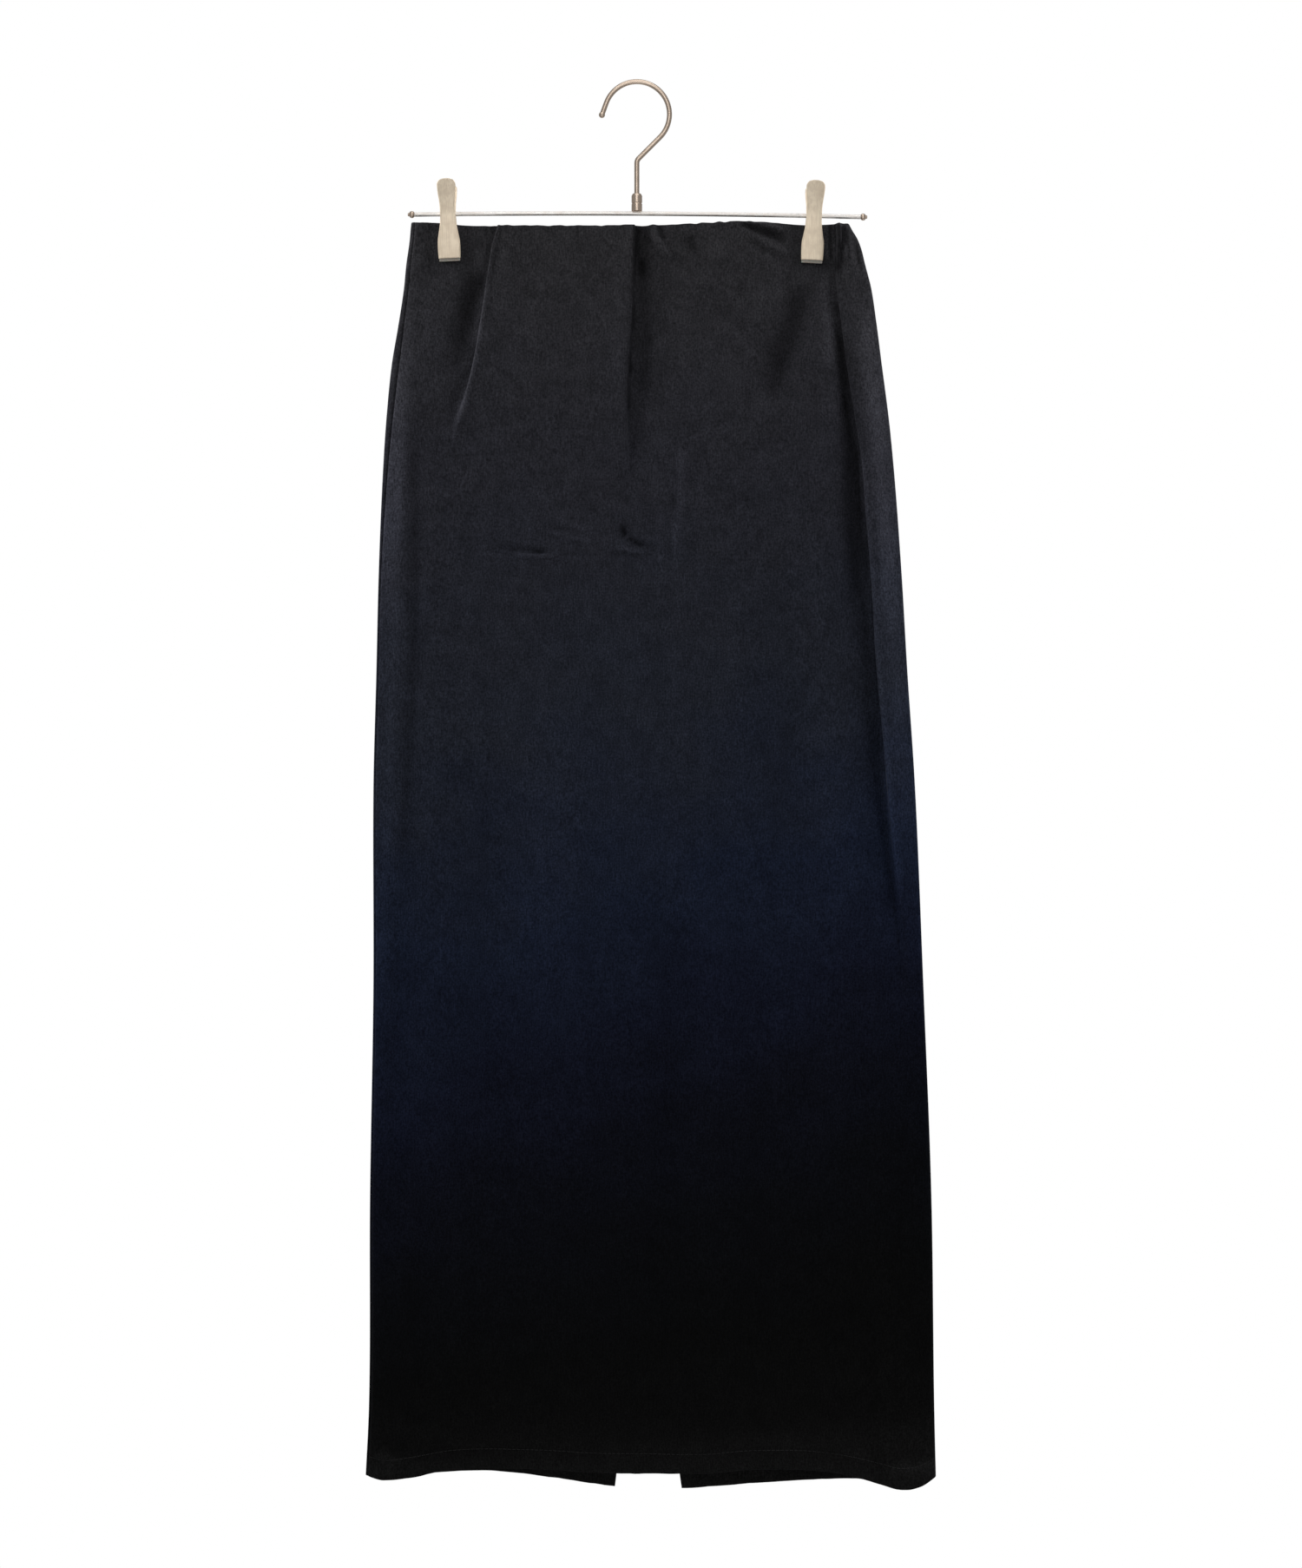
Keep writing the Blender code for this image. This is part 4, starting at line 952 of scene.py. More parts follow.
def united(base, extras):
    """One closed mesh from a mesh and others that reach into it."""
    objects = [bpy.data.objects.new("union", data) for data in (base, *extras)]
    for made in objects:
        bpy.context.scene.collection.objects.link(made)
    for guide in objects[1:]:
        unite = objects[0].modifiers.new("unite", "BOOLEAN")
        unite.operation = "UNION"
        unite.object = guide
    graph = bpy.context.evaluated_depsgraph_get()
    data = bpy.data.meshes.new_from_object(objects[0].evaluated_get(graph))
    for made in objects:
        bpy.data.objects.remove(made)
    return data


def piece(name, data, material, replaced=(), sharp=None, place=None):
    """A named, smooth object on the row's only body, in place of some of its nodes."""
    if place is not None:
        data.transform(place)
    data.name = name
    data.materials.clear()
    data.materials.append(material)
    data.shade_smooth()
    if sharp:
        data.set_sharp_from_angle(angle=math.radians(sharp))
    made = bpy.data.objects.new(name, data)
    bpy.context.scene.collection.objects.link(made)
    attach(made, "root")
    if replaced:
        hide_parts(*replaced)
    return made


# ---------------------------------------------------------------- hanger
def bar_height(x):
    """Height of the bar's middle, which sags towards its ends and tilts."""
    share = (x - HANGER_X) / BAR_HALF
    return BAR_LEVEL - BAR_SAG * share ** 2 - BAR_TILT * share


def hook_path():
    """Middle of the hook's wire, from the tip over the bow and down the stem."""
    centre = np.array((0, 0, WIRE / 2 - HOOK_RADIUS))
    angle = math.radians(HOOK_LEFT)
    start = centre + HOOK_RADIUS * np.array((math.cos(angle), 0, math.sin(angle)))
    slant = np.array((-math.sin(angle), 0, math.cos(angle)))
    path = [start + slant * length for length in np.linspace(HOOK_TIP, 0, 9)[:-1]]
    for angle in np.radians(np.linspace(HOOK_LEFT, HOOK_RIGHT, 97)):
        path.append(centre + HOOK_RADIUS * np.array((math.cos(angle), 0, math.sin(angle))))
    slant = np.array((math.sin(angle), 0, -math.cos(angle)))
    corner = path[-1] + slant * (path[-1][0] / -slant[0])
    turn = math.acos(-slant[2])
    bend_centre = corner + np.array((HOOK_BEND, 0, -HOOK_BEND * math.tan(turn / 2)))
    for angle in turn * np.linspace(1, 0, 13):
        path.append(bend_centre + HOOK_BEND * np.array((-math.cos(angle), 0, math.sin(angle))))
    for height in np.linspace(path[-1][2], FERRULE_TOP - SOCKET + FIT, 9)[1:]:
        path.append(np.array((0, 0, height)))
    return path


def make_hook(steel):
    """The hook's bent wire, from its ball tip to its end in the ferrule."""
    path = hook_path()
    forward = (path[0] - path[1]) / np.linalg.norm(path[0] - path[1])
    angles = np.radians(np.linspace(*BALL_ARC, 13))
    ball = [path[0] + forward * BALL / 2 * math.cos(angle) for angle in angles]
    radii = [BALL / 2 * math.sin(angle) for angle in angles]
    radii += [WIRE / 2] * (len(path) - 1)
    rings = tube_rings(ball + path[1:], radii, WIRE_SIDES)
    piece("hook_wire", ringed(rings), steel, ["hook"], sharp=50)


def make_ferrule(steel):
    """A turned sleeve with a chamfer, a groove and a socket for the hook's stem."""
    radius = FERRULE / 2
    bore = WIRE / 2 + FIT / 3
    bottom = bar_height(0) + BAR / 2 + FIT / 3
    profile = rounded((
        (CENTRE, FERRULE_TOP - SOCKET), (bore, FERRULE_TOP - SOCKET), (bore, FERRULE_TOP),
        (radius - FERRULE_CHAMFER * 0.6, FERRULE_TOP),
        (radius, FERRULE_TOP - FERRULE_CHAMFER), (radius, FERRULE_GROOVE + GROOVE),
        (radius - GROOVE, FERRULE_GROOVE), (radius, FERRULE_GROOVE - GROOVE),
        (radius, bottom), (CENTRE, bottom),
    ), 0.35)
    data = ringed(turned_rings(profile, TURNED_SIDES))
    piece("ferrule_turned", data, steel, ["ferrule"], 50)


def make_bar(rod, steel):
    """The bar and the turned caps on its two ends."""
    places = HANGER_X + BAR_HALF * np.linspace(-1, 1, 49)
    path = [np.array((x, 0, bar_height(x))) for x in places]
    piece("bar_rod", ringed(tube_rings(path, BAR / 2, WIRE_SIDES)), rod, ["bar"], 50)
    collar = rounded((
        (CENTRE, 0), (CAP / 2 * 0.72, 0), (CAP / 2, CAP_LENGTH * 0.3), (CAP / 2, CAP_LENGTH * 0.7),
        (CAP / 2 * 0.72, CAP_LENGTH), (NUB / 2, CAP_LENGTH),
        (NUB / 2, CAP_LENGTH + NUB_LENGTH), (CENTRE, CAP_LENGTH + NUB_LENGTH),
    ), 0.8)
    for name, end, inner in (("left", 0, 1), ("right", -1, -2)):
        away = Vector(path[end] - path[inner]).normalized()
        seat = Vector(path[end]) + away * FIT / 3
        turn = Vector((0, 0, 1)).rotation_difference(away).to_matrix().to_4x4()
        place = Matrix.Translation(seat * MM) @ turn
        data = ringed(turned_rings(collar, CAP_SIDES))
        node = "bar_cap_" + name
        piece(node + "_turned", data, steel, [node], 50, place)


def strip_ring(half, middle, thickness):
    """A jaw plate's section: a flat strip with rims curled back, as a closed loop."""
    last = math.radians(CURL_TURN)
    flat = half - (CURL + thickness / 2) * math.sin(last)
    arc = np.linspace(0, last, 7)
    across = np.linspace(0, flat, JAW_STEPS, endpoint=False)
    x = np.concatenate((across, flat + CURL * np.sin(arc)))
    dip = JAW_CROWN * (np.minimum(x, flat) / half) ** 2
    y = middle + dip + np.concatenate((np.zeros(JAW_STEPS), CURL * (1 - np.cos(arc))))
    x, y = np.concatenate((-x[:0:-1], x)), np.concatenate((y[:0:-1], y))
    along = np.column_stack((np.gradient(x), np.gradient(y)))
    along /= np.linalg.norm(along, axis=1, keepdims=True)
    normal = np.column_stack((along[:, 1], -along[:, 0])) * thickness / 2
    line = np.column_stack((x, y))
    tips = []
    for end, sign in ((-1, 1), (0, -1)):
        for angle in np.radians((45, 90, 135)):
            tips.append(
                line[end] + normal[end] * math.cos(angle) * sign
                + along[end] * sign * math.sin(angle) * thickness / 2
            )
    return np.vstack((line + normal, tips[:3], (line - normal)[::-1], tips[3:]))


def jaw_plate():
    """A jaw's plate with curled rims, its rings closest at the round top and at the lip."""
    top, lip = JAW[0].z, JAW[-1].z
    levels = np.concatenate((
        top - JAW_TOP * (1 - np.cos(np.linspace(0, math.pi / 2, 13))),
        np.linspace(top - JAW_TOP - 0.6, lip + 1, 40), lip + np.array((0.6, 0.3, 0.1, 0)),
    ))
    rings = []
    for z in levels:
        thin = 1 - float(ease(min(top - z, z - lip), 0, JAW_RIM))
        thickness = STEEL * (1 - JAW_THINNING * thin)
        half, out = float(smooth_at(JAW, z, "half")), float(smooth_at(JAW, z, "out"))
        loop = strip_ring(half, -out, thickness)
        rings.append(np.column_stack((loop, np.full(len(loop), z))))
    return ringed(rings)


def ear(middle):
    """A jaw's ear: a plate across the bar, bored for it, reaching into the jaw."""
    reach = float(smooth_at(JAW, 0.0, "out")) + EAR_SINK
    rings = []
    angles = 2 * math.pi * np.arange(EAR_SIDES) / EAR_SIDES
    for x, inner in ((-EAR / 2, 1), (-EAR / 2, 0), (EAR / 2, 0), (EAR / 2, 1)):
        ring = []
        for angle in angles:
            out, up = math.cos(angle), math.sin(angle)
            length = EAR_RADIUS
            if out > 0:
                length = min(reach / out, EAR_RADIUS / max(abs(up), 0.001))
            if inner:
                length = EAR_BORE / 2
            ring.append((middle + x, -out * length, up * length))
        rings.append(ring)
    return ringed(rings, closed=True)


def spring_path():
    """A torsion spring's wire: a leg up, the coil round the bar, and the other leg up."""
    radius = SPRING / 2 - SPRING_WIRE / 2
    pitch = SPRING_WIRE * SPRING_SPACING
    turns = SPRING_TURNS - 0.25
    steps = int(SPRING_STEPS * turns)
    angles = math.pi * 1.5 + 2 * math.pi * np.linspace(0, turns, steps + 1)
    coil = [
        (pitch * (a - angles[0]) / (2 * math.pi) - pitch * turns / 2,
         radius * math.sin(a), -radius * math.cos(a)) for a in angles
    ]
    coil = np.array(coil)
    first = coil[0] + np.outer(np.linspace(SPRING_LEG, 0, 9)[:-1], (0, -SPRING_SPLAY, 1))
    last = coil[-1] + np.outer(np.linspace(0, SPRING_LEG, 9)[1:], (0, SPRING_SPLAY, 1))
    return np.vstack((first, coil, last))


# Powers that square a pad's round section off: 1 is round, 0 is square.
PAD_SQUARE_ENDS = 0.16
PAD_SQUARE_FACES = 0.5


def pad_block():
    """A soft strip between a jaw's lip and the cloth, with rounded edges."""
    bottom = JAW[-1].z - PAD_BELOW
    half, deep = PAD_WIDTH / 2, PAD / 2
    rings = []
    for height, inset in ((0, 0.45), (0.12, 0.2), (0.45, 0), (PAD_HEIGHT - 0.45, 0),
                          (PAD_HEIGHT - 0.12, 0.2), (PAD_HEIGHT, 0.45)):
        ring = []
        for k in range(PAD_SIDES):
            angle = 2 * math.pi * (k + 0.5) / PAD_SIDES
            out, up = math.cos(angle), math.sin(angle)
            x = math.copysign(abs(out) ** PAD_SQUARE_ENDS, out) * (half - inset)
            y = math.copysign(abs(up) ** PAD_SQUARE_FACES, up) * (deep - inset * 0.6)
            ring.append((x, y - PAD_INNER - deep, bottom + height))
        rings.append(ring)
    return ringed(rings)


def make_clip(clip, steel, pad):
    """A clip: two jaws that turn on the bar by their ears, a spring and two pads."""
    on_bar = Vector((clip.x, 0, bar_height(clip.x))) * MM
    place = Matrix.Translation(on_bar) @ Matrix.Rotation(math.radians(-clip.tilt), 4, "Y")
    label = "clip_" + clip.name
    for name, facing, outer in (("front", -1, EAR_OUTER), ("back", 1, EAR_OUTER - EAR - FIT)):
        turn = place if facing < 0 else place @ Matrix.Rotation(math.pi, 4, "Z")
        ears = [ear(side * (outer - EAR / 2)) for side in (-1, 1)]
        node = f"{label}_{name}_jaw"
        piece(node + "_pressed", united(jaw_plate(), ears), steel, [node], 40, turn)
        node = f"{label}_{name}_pad"
        piece(node + "_soft", pad_block(), pad, [node], 50, turn)
    wire = ringed(tube_rings(spring_path(), SPRING_WIRE / 2, SPRING_SIDES))
    piece(label + "_spring_wire", wire, steel, [label + "_spring"], 50, place)


# ---------------------------------------------------------------- stitches
STITCH = 2.7            # length of a stitch, and from one to the next
STITCH_PITCH = 3.4
THREAD = 0.17           # radius
STITCH_RINGS = 9
STITCH_SIDES = 8
SLIT_HEM = 12.5         # from the slit's edge to its stitches
WANDER = 0.7            # how far the hem's stitches stray, and over what length
WANDER_SPACING = 38.0


def stitches(path):
    """A joined mesh of short stitches along a path, their ends sunk into the cloth."""
    path = np.array(path)
    step = np.linalg.norm(np.diff(path, axis=0), axis=1)
    along = np.concatenate(([0.0], np.cumsum(step)))
    vertices, faces = [], []
    for start in np.arange(1.0, along[-1] - STITCH - 1, STITCH_PITCH):
        run = np.sin(np.radians(np.linspace(-90, 90, STITCH_RINGS)))
        reach = start + STITCH * (0.5 + 0.5 * run)
        middle = np.column_stack([np.interp(reach, along, path[:, k]) for k in range(3)])
        swell = np.clip(np.sqrt(1 - np.linspace(-0.97, 0.97, STITCH_RINGS) ** 2), 0.2, 1)
        faces += ring_faces(STITCH_RINGS, STITCH_SIDES, first=len(vertices))
        for ring in tube_rings(middle, THREAD * swell, STITCH_SIDES):
            vertices += [tuple(point * MM) for point in ring]
    return closed_mesh("stitches", vertices, faces)


def hem_line(outer, seed):
    """Where the hem's stitches run on a panel's outer face."""
    above = LEVELS - HEM_LEVEL
    line = []
    for j in range(outer.shape[1]):
        column = outer[:, j]
        wander = WANDER * float(uneven(column[-1, 0], WANDER_SPACING, seed))
        line.append([
            np.interp(HEM_TURN + wander, above[::-1], column[::-1, k]) for k in range(3)
        ])
    return np.array(line)


def slit_line(outer):
    """Where the stitches along a slit's edge run, from its top to the hem's stitches."""
    line = []
    for z, row in zip(LEVELS, outer):
        if HEM_LEVEL + HEM_TURN + 1 < z < HEM_LEVEL + SLIT_LENGTH - 6:
            step = np.linalg.norm(np.diff(row[::-1], axis=0), axis=1)
            inward = np.concatenate(([0.0], np.cumsum(step)))
            line.append([np.interp(SLIT_HEM, inward, row[::-1, k]) for k in range(3)])
    return np.array(line)


# ---------------------------------------------------------------- skirt
Panel = namedtuple("Panel", "name node side hem creases strokes seed cut area")
PANELS = (
    Panel("front_cloth", "front_panel", 0, FRONT_HEM, FRONT_CREASES, FRONT_SHADE_STROKES, 11,
          (0.470, 0.985), 0.42),
    Panel("back_left_cloth", "back_panel_left", -1, BACK_HEM, BACK_CREASES, BACK_SHADE_STROKES, 47,
          (0.240, 0.985), 0.20),
    Panel("back_right_cloth", "back_panel_right", 1, BACK_HEM, BACK_CREASES, BACK_SHADE_STROKES, 83,
          (0.240, 0.985), 0.20),
)


def make_panel(panel, cloth, thread):
    """A panel's wall and its rows of stitches."""
    section = front_section if panel.side == 0 else lambda z: back_section(z, panel.side)
    grid, coarse, free, painted_shade = panel_grid(section, panel)
    turn = -1 if panel.side < 0 else 1
    outer, inner = wall_faces(grid, free, turn, panel.side)
    data = wall_mesh(panel.name, outer, inner, coarse, painted_shade)
    made = piece(panel.name, data, cloth, [panel.node])
    runs = [("hem", hem_line(outer, panel.seed))]
    if panel.side:
        runs.append(("slit", slit_line(outer)))
    threads = [
        piece(f"{panel.name}_{name}_stitches", stitches(line), thread)
        for name, line in runs
    ]


# ---------------------------------------------------------------- materials
def look(name, values):
    """A material, its node tree and its shader, with the shader's own values set."""
    material = bpy.data.materials.new(name)
    material.use_nodes = True
    shader = material.node_tree.nodes["Principled BSDF"]
    for socket, value in values.items():
        shader.inputs[socket].default_value = value
    return material, material.node_tree, shader


def spread(tree, value, low, high, to_low, to_high):
    """A value carried from one range to another."""
    made = tree.nodes.new("ShaderNodeMapRange")
    tree.links.new(value, made.inputs["Value"])
    for socket, number in zip(("From Min", "From Max", "To Min", "To Max"),
                              (low, high, to_low, to_high)):
        made.inputs[socket].default_value = number
    return made.outputs["Result"]


def stretched(tree, sizes):
    """Object coordinates, counted in these sizes in millimetres."""
    place = tree.nodes.new("ShaderNodeTexCoord")
    scale = tree.nodes.new("ShaderNodeVectorMath")
    scale.operation = "MULTIPLY"
    tree.links.new(place.outputs["Object"], scale.inputs[0])
    scale.inputs[1].default_value = [1 / (size * MM) for size in sizes]
    return scale.outputs[0]


def noise(tree, sizes, detail, low, high):
    """Soft noise of these sizes in millimetres, between two values."""
    made = tree.nodes.new("ShaderNodeTexNoise")
    made.inputs["Scale"].default_value = 1.0
    made.inputs["Detail"].default_value = detail
    tree.links.new(stretched(tree, sizes), made.inputs["Vector"])
    return spread(tree, made.outputs["Fac"], 0.3, 0.7, low, high)


def combined(tree, operation, first, *others):
    """Values joined by one arithmetic operation."""
    for other in others:
        made = tree.nodes.new("ShaderNodeMath")
        made.operation = operation
        tree.links.new(first, made.inputs[0])
        tree.links.new(other, made.inputs[1])
        first = made.outputs[0]
    return first


def ramp(tree, value, stops):
    """A colour that runs through the given stops, as (place, colour)."""
    made = tree.nodes.new("ShaderNodeValToRGB")
    tree.links.new(value, made.inputs["Fac"])
    points = made.color_ramp.elements
    while len(points) < len(stops):
        points.new(0.5)
    for point, (place, colour) in zip(points, stops):
        point.position = place
        point.color = (*colour, 1)
    return made.outputs["Color"]


def tinted(tree, shader, colour, amount):
    """The base colour, made lighter or darker by an amount."""
    made = tree.nodes.new("ShaderNodeVectorMath")
    made.operation = "SCALE"
    tree.links.new(colour, made.inputs[0])
    tree.links.new(amount, made.inputs["Scale"])
    tree.links.new(made.outputs[0], shader.inputs["Base Color"])


def bumped(tree, shader, height, distance, strength=1.0):
    """Bump from a height, whose full range stands for a distance in millimetres."""
    made = tree.nodes.new("ShaderNodeBump")
    made.inputs["Distance"].default_value = distance * MM
    made.inputs["Strength"].default_value = strength
    tree.links.new(height, made.inputs["Height"])
    tree.links.new(made.outputs["Normal"], shader.inputs["Normal"])


def shade_falloff_share(tree):
    """Share of the painted shade down the skirt: 0 at the waist, 1 at the hem; in between it runs
    later on the left, and in patches.
    """
    place = tree.nodes.new("ShaderNodeTexCoord")
    split = tree.nodes.new("ShaderNodeSeparateXYZ")
    tree.links.new(place.outputs["Object"], split.inputs[0])
    share, rest, slant = (
        spread(tree, split.outputs["Z"], WAIST_LEVEL * MM, HEM_LEVEL * MM, *ends)
        for ends in ((0, 1), (1, 0), (-0.1, 0.5))
    )
    across = spread(tree, split.outputs["X"], -0.2, 0.2, -1, 1)
    patches = noise(tree, (70, 70, 50), 3.0, -0.12, 0.12)
    shift = combined(tree, "ADD", combined(tree, "MULTIPLY", slant, across), patches)
    return combined(tree, "ADD", share, combined(tree, "MULTIPLY", share, rest, shift))


def cloth_look():
    """Black peached satin: soft pile, upright grain, slubs; painted shade towards the hem and in
    hollows, painted light on ridges.
    """
    material, tree, shader = look("peached_satin", {
        "Specular IOR Level": 0.03, "Sheen Weight": 0.08, "Sheen Roughness": 0.40,
        "Sheen Tint": (0.62, 0.64, 0.72, 1),
    })
    # painted shade: darker towards the hem, bluer about the middle, and lighter again at the hem's
    # very edge
    colour = ramp(tree, shade_falloff_share(tree), (
        (0.0, (0.0320, 0.0312, 0.0340)), (0.20, (0.0275, 0.0280, 0.0360)),
        (0.38, (0.0235, 0.0272, 0.0400)), (0.54, (0.0140, 0.0200, 0.0410)),
        (0.64, (0.0094, 0.0122, 0.0270)), (0.72, (0.0064, 0.0076, 0.0150)),
        (0.80, (0.0044, 0.0050, 0.0074)), (0.90, (0.0036, 0.0038, 0.0040)),
        (0.97, (0.0050, 0.0050, 0.0050)), (1.0, (0.0110, 0.0110, 0.0110)),
    ))
    # painted shade and light, carried on the mesh's points
    shade_lift = tree.nodes.new("ShaderNodeAttribute")
    shade_lift.attribute_name = PAINTED_SHADE
    fibres = noise(tree, (1.3, 1.3, 1.6), 4.0, 0.54, 1.46)
    cloud = noise(tree, (11, 11, 13), 3.0, 0.85, 1.15)
    slub = noise(tree, (3.6, 3.6, 0.5), 1.0, 0.92, 1.08)
    grain = noise(tree, (0.55, 0.55, 5.0), 1.0, 0.74, 1.26)
    amount = combined(tree, "MULTIPLY", shade_lift.outputs["Fac"], fibres, cloud, slub, grain)
    tinted(tree, shader, colour, amount)
    rough = noise(tree, (2.8, 2.8, 4.0), 3.0, 0.50, 0.62)
    tree.links.new(rough, shader.inputs["Roughness"])
    fuzz = noise(tree, (0.5, 0.5, 0.8), 2.0, 0.0, 0.5)
    ribs = noise(tree, (0.42, 0.42, 7.0), 1.0, 0.0, 0.5)
    soft = noise(tree, (3.0, 3.0, 4.0), 2.0, 0.0, 1.2)
    bumped(tree, shader, combined(tree, "ADD", fuzz, ribs, soft), 0.09, 0.8)
    return material


def thread_look():
    """Black sewing thread, twisted, in places a little brighter than the cloth."""
    material, tree, shader = look("sewing_thread", {
        "Roughness": 0.6, "Specular IOR Level": 0.2, "Sheen Weight": 0.1,
    })
    twist = noise(tree, (0.25, 0.25, 0.12), 1.0, 0.7, 1.35)
    worn = noise(tree, (24, 24, 24), 2.0, 0.3, 1.7)
    colour = ramp(tree, worn, ((0, (0.013, 0.013, 0.014)), (1, (0.015, 0.015, 0.015))))
    tinted(tree, shader, colour, combined(tree, "MULTIPLY", twist, worn))
    bumped(tree, shader, twist, 0.05)
    return material


# grain is the size of a metal's marks along x, y and z; relief is their height.
Metal = namedtuple("Metal", "name light dark rough grain metallic relief")
CLIP_METAL = Metal("nickel_plate", (0.97, 0.83, 0.64), (0.84, 0.70, 0.53), 0.36,
                   (0.9, 0.9, 14), 0.25, 0.010)
BAR_METAL = Metal("nickel_rod", (0.97, 0.94, 0.90), (0.88, 0.82, 0.76), 0.24,
                  (9, 0.5, 0.5), 0.4, 0.003)
HOOK_METAL = Metal("nickel_wire", (0.66, 0.54, 0.44), (0.56, 0.45, 0.36), 0.24,
                   (0.35, 0.35, 0.35), 1.0, 0.002)


def metal_look(metal):
    """Nickel plate with a fine grain and faint clouding."""
    material, tree, shader = look(metal.name, {
        "Metallic": metal.metallic, "Specular IOR Level": 0.5,
    })
    brushed = noise(tree, metal.grain, 3.0, 0.0, 1.0)
    cloud = noise(tree, (6, 6, 6), 3.0, 0.0, 1.0)
    share = combined(tree, "MULTIPLY", brushed, cloud)
    colour = ramp(tree, share, ((0, metal.dark), (0.45, metal.light), (1, metal.light)))
    tree.links.new(colour, shader.inputs["Base Color"])
    rough = spread(tree, share, 0, 1, metal.rough + 0.07, metal.rough - 0.03)
    tree.links.new(rough, shader.inputs["Roughness"])
    bumped(tree, shader, brushed, metal.relief, 0.6)
    return material


def pad_look():
    """Greyed clear plastic, a little dusty."""
    material, tree, shader = look("grip_pad", {
        "Subsurface Weight": 0.2, "Subsurface Scale": 0.001, "Specular IOR Level": 0.5,
    })
    dust = noise(tree, (1.6, 1.6, 0.9), 4.0, 0.0, 1.0)
    colour = ramp(tree, dust, ((0, (0.34, 0.31, 0.26)), (1, (0.52, 0.49, 0.43))))
    tree.links.new(colour, shader.inputs["Base Color"])
    tree.links.new(spread(tree, dust, 0, 1, 0.38, 0.56), shader.inputs["Roughness"])
    bumped(tree, shader, dust, 0.06, 0.5)
    return material


def floor_look():
    """Pale matt floor, slightly uneven."""
    material, tree, shader = look("pale_floor", {"Roughness": 0.9, "Specular IOR Level": 0.2})
    shade = noise(tree, (60, 60, 60), 3.0, 0.0, 1.0)
    colour = ramp(tree, shade, ((0, (0.90, 0.90, 0.90)), (1, (0.94, 0.94, 0.94))))
    tree.links.new(colour, shader.inputs["Base Color"])
    bumped(tree, shader, shade, 0.4, 0.2)
    return material


# ---------------------------------------------------------------- studio
PHOTO_WIDTH, PHOTO_HEIGHT = 1500, 1806
PHOTO_SCALE = 0.65      # millimetres in a pixel of the photograph, at the middle plane
ORIGIN_PIXEL = (733.7, 97.0)
CAMERA_AWAY = 2.2
FLOOR_LEVEL = -1.35
FLOOR_RADIUS = 0.85
SURROUND = 0.05
MIRRORED = 0.34         # what metal mirrors all round, where no softbox stands

Softbox = namedtuple("Softbox", "name place target width height radiance lights_cloth shines")
SOFTBOXES = (
    Softbox("front", (0.0, -1.25, 0.00), (0.0, 0.0, 0.00), 0.9, 1.1, 0.80, True, True),
    Softbox("front_low", (0.0, -1.25, -0.80), (0.0, 0.0, -0.10), 0.9, 0.5, 0.9, False, True),
    Softbox("glint", (-0.12, -1.10, 0.30), (0.0, 0.0, -0.05), 0.16, 0.50, 2.0, False, True),
    Softbox("left", (-1.0, -0.22, 0.20), (0.0, 0.0, -0.25), 0.4, 0.6, 11.0, True, False),
    Softbox("right", (1.0, -0.22, 0.20), (0.0, 0.0, -0.25), 0.4, 0.6, 9.5, True, False),
    Softbox("top", (0.0, -0.40, 0.60), (0.0, 0.0, -0.25), 0.9, 0.4, 1.6, True, True),
    Softbox("back", (0.0, 1.25, 0.00), (0.0, 0.0, 0.00), 0.9, 1.1, 0.80, True, True),
    Softbox("back_left", (-1.0, 0.30, 0.20), (0.0, 0.0, -0.25), 0.4, 0.6, 7.5, True, False),
    Softbox("back_right", (1.0, 0.30, 0.20), (0.0, 0.0, -0.25), 0.4, 0.6, 7.5, True, False),
    Softbox("above", (0.0, 0.1, 1.0), (0.0, 0.0, 0.0), 0.8, 0.6, 0.8, True, True),
)


def make_softbox(box):
    """A rectangular light that faces its target and isn't seen itself."""
    light = bpy.data.lights.new(box.name, "AREA")
    light.shape = "RECTANGLE"
    light.size, light.size_y = box.width, box.height
    light.energy = box.radiance * math.pi * box.width * box.height
    made = bpy.data.objects.new("light_" + box.name, light)
    made.location = box.place
    away = Vector(box.place) - Vector(box.target)
    made.rotation_euler = away.to_track_quat("Z", "Y").to_euler()
    made.visible_camera = False
    made.visible_diffuse = box.lights_cloth
    made.visible_glossy = box.shines
    bpy.context.scene.collection.objects.link(made)


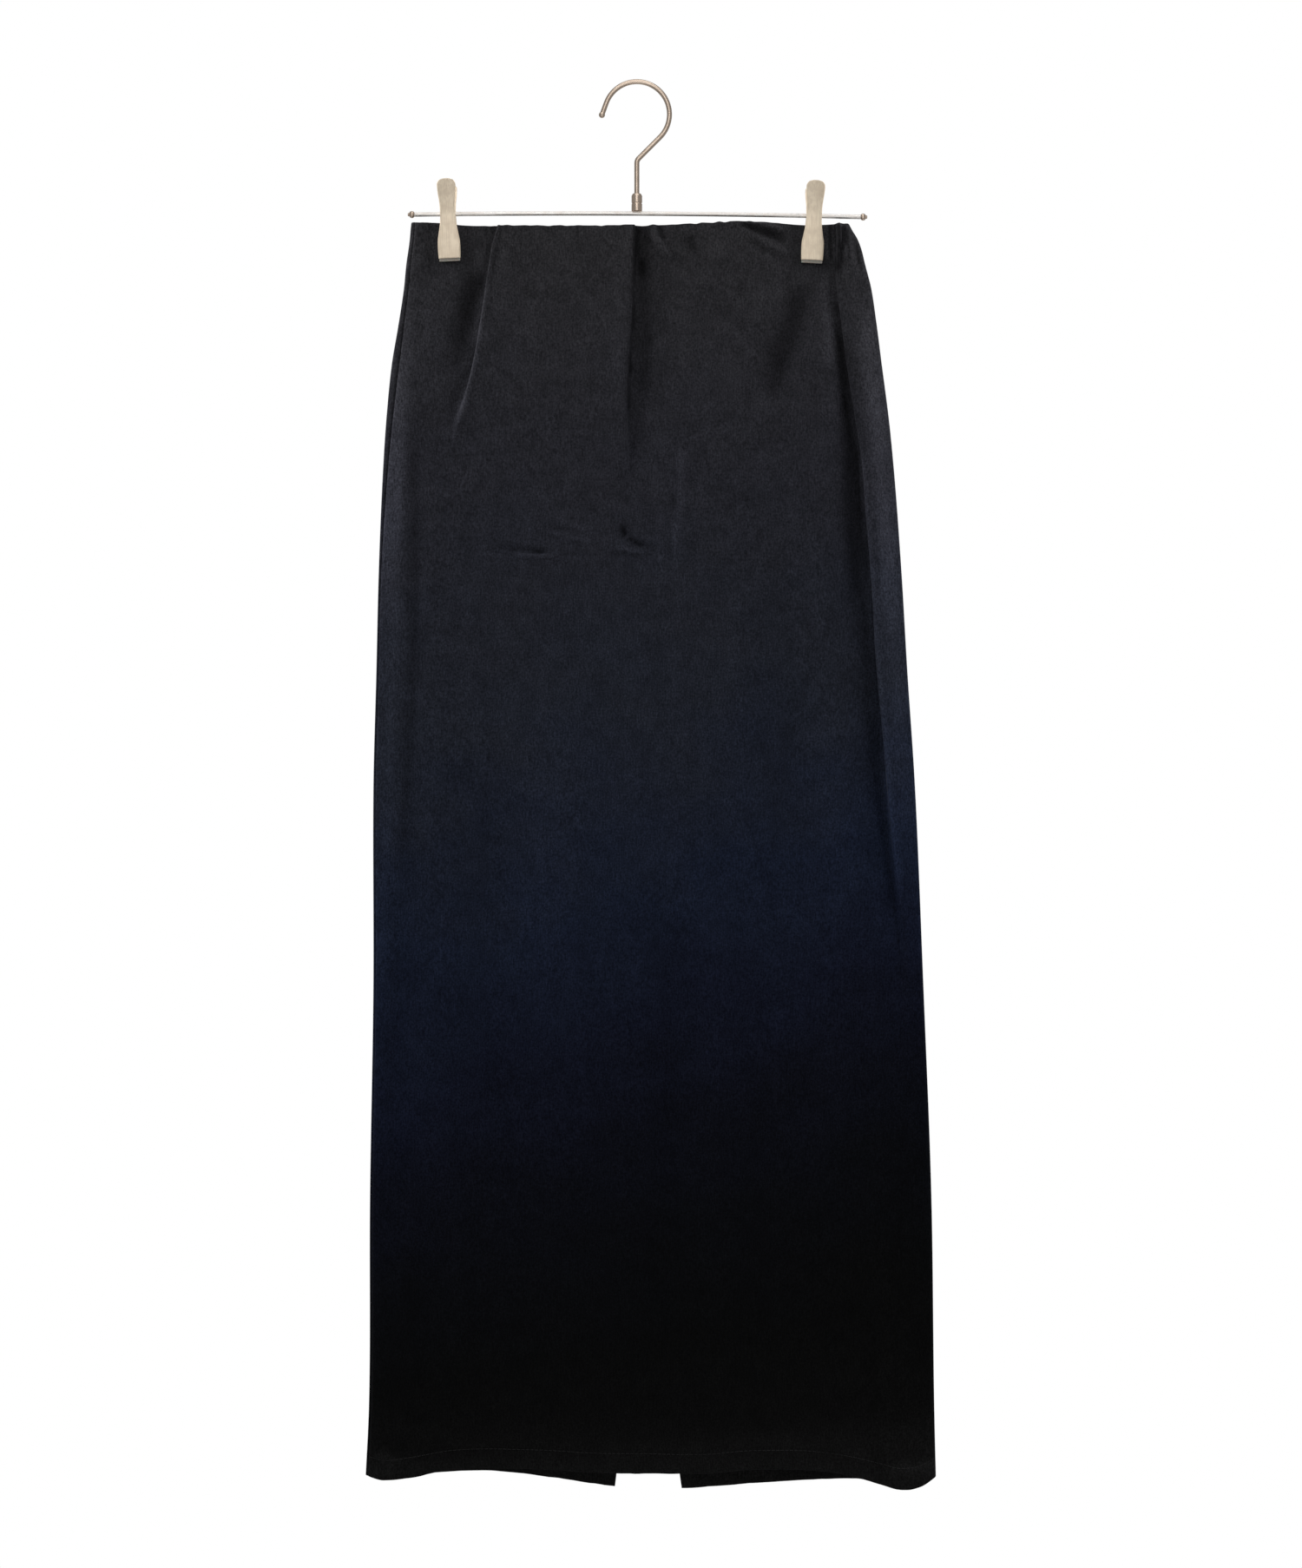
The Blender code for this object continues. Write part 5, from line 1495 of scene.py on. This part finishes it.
def make_world():
    """White behind the object for the camera, grey in what metal mirrors, dim for the rest."""
    world = bpy.data.worlds.new("studio")
    bpy.context.scene.world = world
    world.use_nodes = True
    tree = world.node_tree
    dim = tree.nodes["Background"]
    dim.inputs["Color"].default_value = (1, 1, 1, 1)
    dim.inputs["Strength"].default_value = SURROUND
    white = tree.nodes.new("ShaderNodeBackground")
    white.inputs["Color"].default_value = (1, 1, 1, 1)
    ray = tree.nodes.new("ShaderNodeLightPath")
    mirrored = tree.nodes.new("ShaderNodeBackground")
    mirrored.inputs["Color"].default_value = (1, 1, 1, 1)
    mirrored.inputs["Strength"].default_value = MIRRORED
    shown = dim.outputs[0]
    for kind, other in (("Is Glossy Ray", mirrored), ("Is Camera Ray", white)):
        mix = tree.nodes.new("ShaderNodeMixShader")
        tree.links.new(ray.outputs[kind], mix.inputs["Fac"])
        tree.links.new(shown, mix.inputs[1])
        tree.links.new(other.outputs[0], mix.inputs[2])
        shown = mix.outputs[0]
    tree.links.new(shown, tree.nodes["World Output"].inputs["Surface"])


def make_floor():
    """A round floor below the object."""
    mesh = bmesh.new()
    bmesh.ops.create_circle(mesh, cap_ends=True, segments=96, radius=FLOOR_RADIUS)
    data = bpy.data.meshes.new("floor")
    mesh.to_mesh(data)
    mesh.free()
    data.materials.append(floor_look())
    floor = bpy.data.objects.new("floor", data)
    floor.location.z = FLOOR_LEVEL
    bpy.context.scene.collection.objects.link(floor)


def make_camera():
    """A camera that looks straight at the front, framed as the photograph is."""
    data = bpy.data.cameras.new("camera")
    data.sensor_width = 36.0
    data.lens = data.sensor_width * CAMERA_AWAY / (PHOTO_HEIGHT * PHOTO_SCALE * MM)
    camera = bpy.data.objects.new("camera", data)
    across, down = PHOTO_WIDTH / 2 - ORIGIN_PIXEL[0], PHOTO_HEIGHT / 2 - ORIGIN_PIXEL[1]
    camera.location = (across * PHOTO_SCALE * MM, -CAMERA_AWAY, -down * PHOTO_SCALE * MM)
    camera.rotation_euler = (math.pi / 2, 0, 0)
    bpy.context.scene.collection.objects.link(camera)
    bpy.context.scene.camera = camera


# ---------------------------------------------------------------- the scene
def main():
    plate, rod, wire = metal_look(CLIP_METAL), metal_look(BAR_METAL), metal_look(HOOK_METAL)
    pad = pad_look()
    make_hook(wire)
    make_ferrule(wire)
    make_bar(rod, wire)
    for clip in CLIPS:
        make_clip(clip, plate, pad)
    cloth, thread = cloth_look(), thread_look()
    for panel in PANELS:
        make_panel(panel, cloth, thread)
    for box in SOFTBOXES:
        make_softbox(box)
    make_world()
    make_floor()
    make_camera()
    bpy.context.scene.view_settings.view_transform = "Standard"
    bpy.context.view_layer.update()


main()
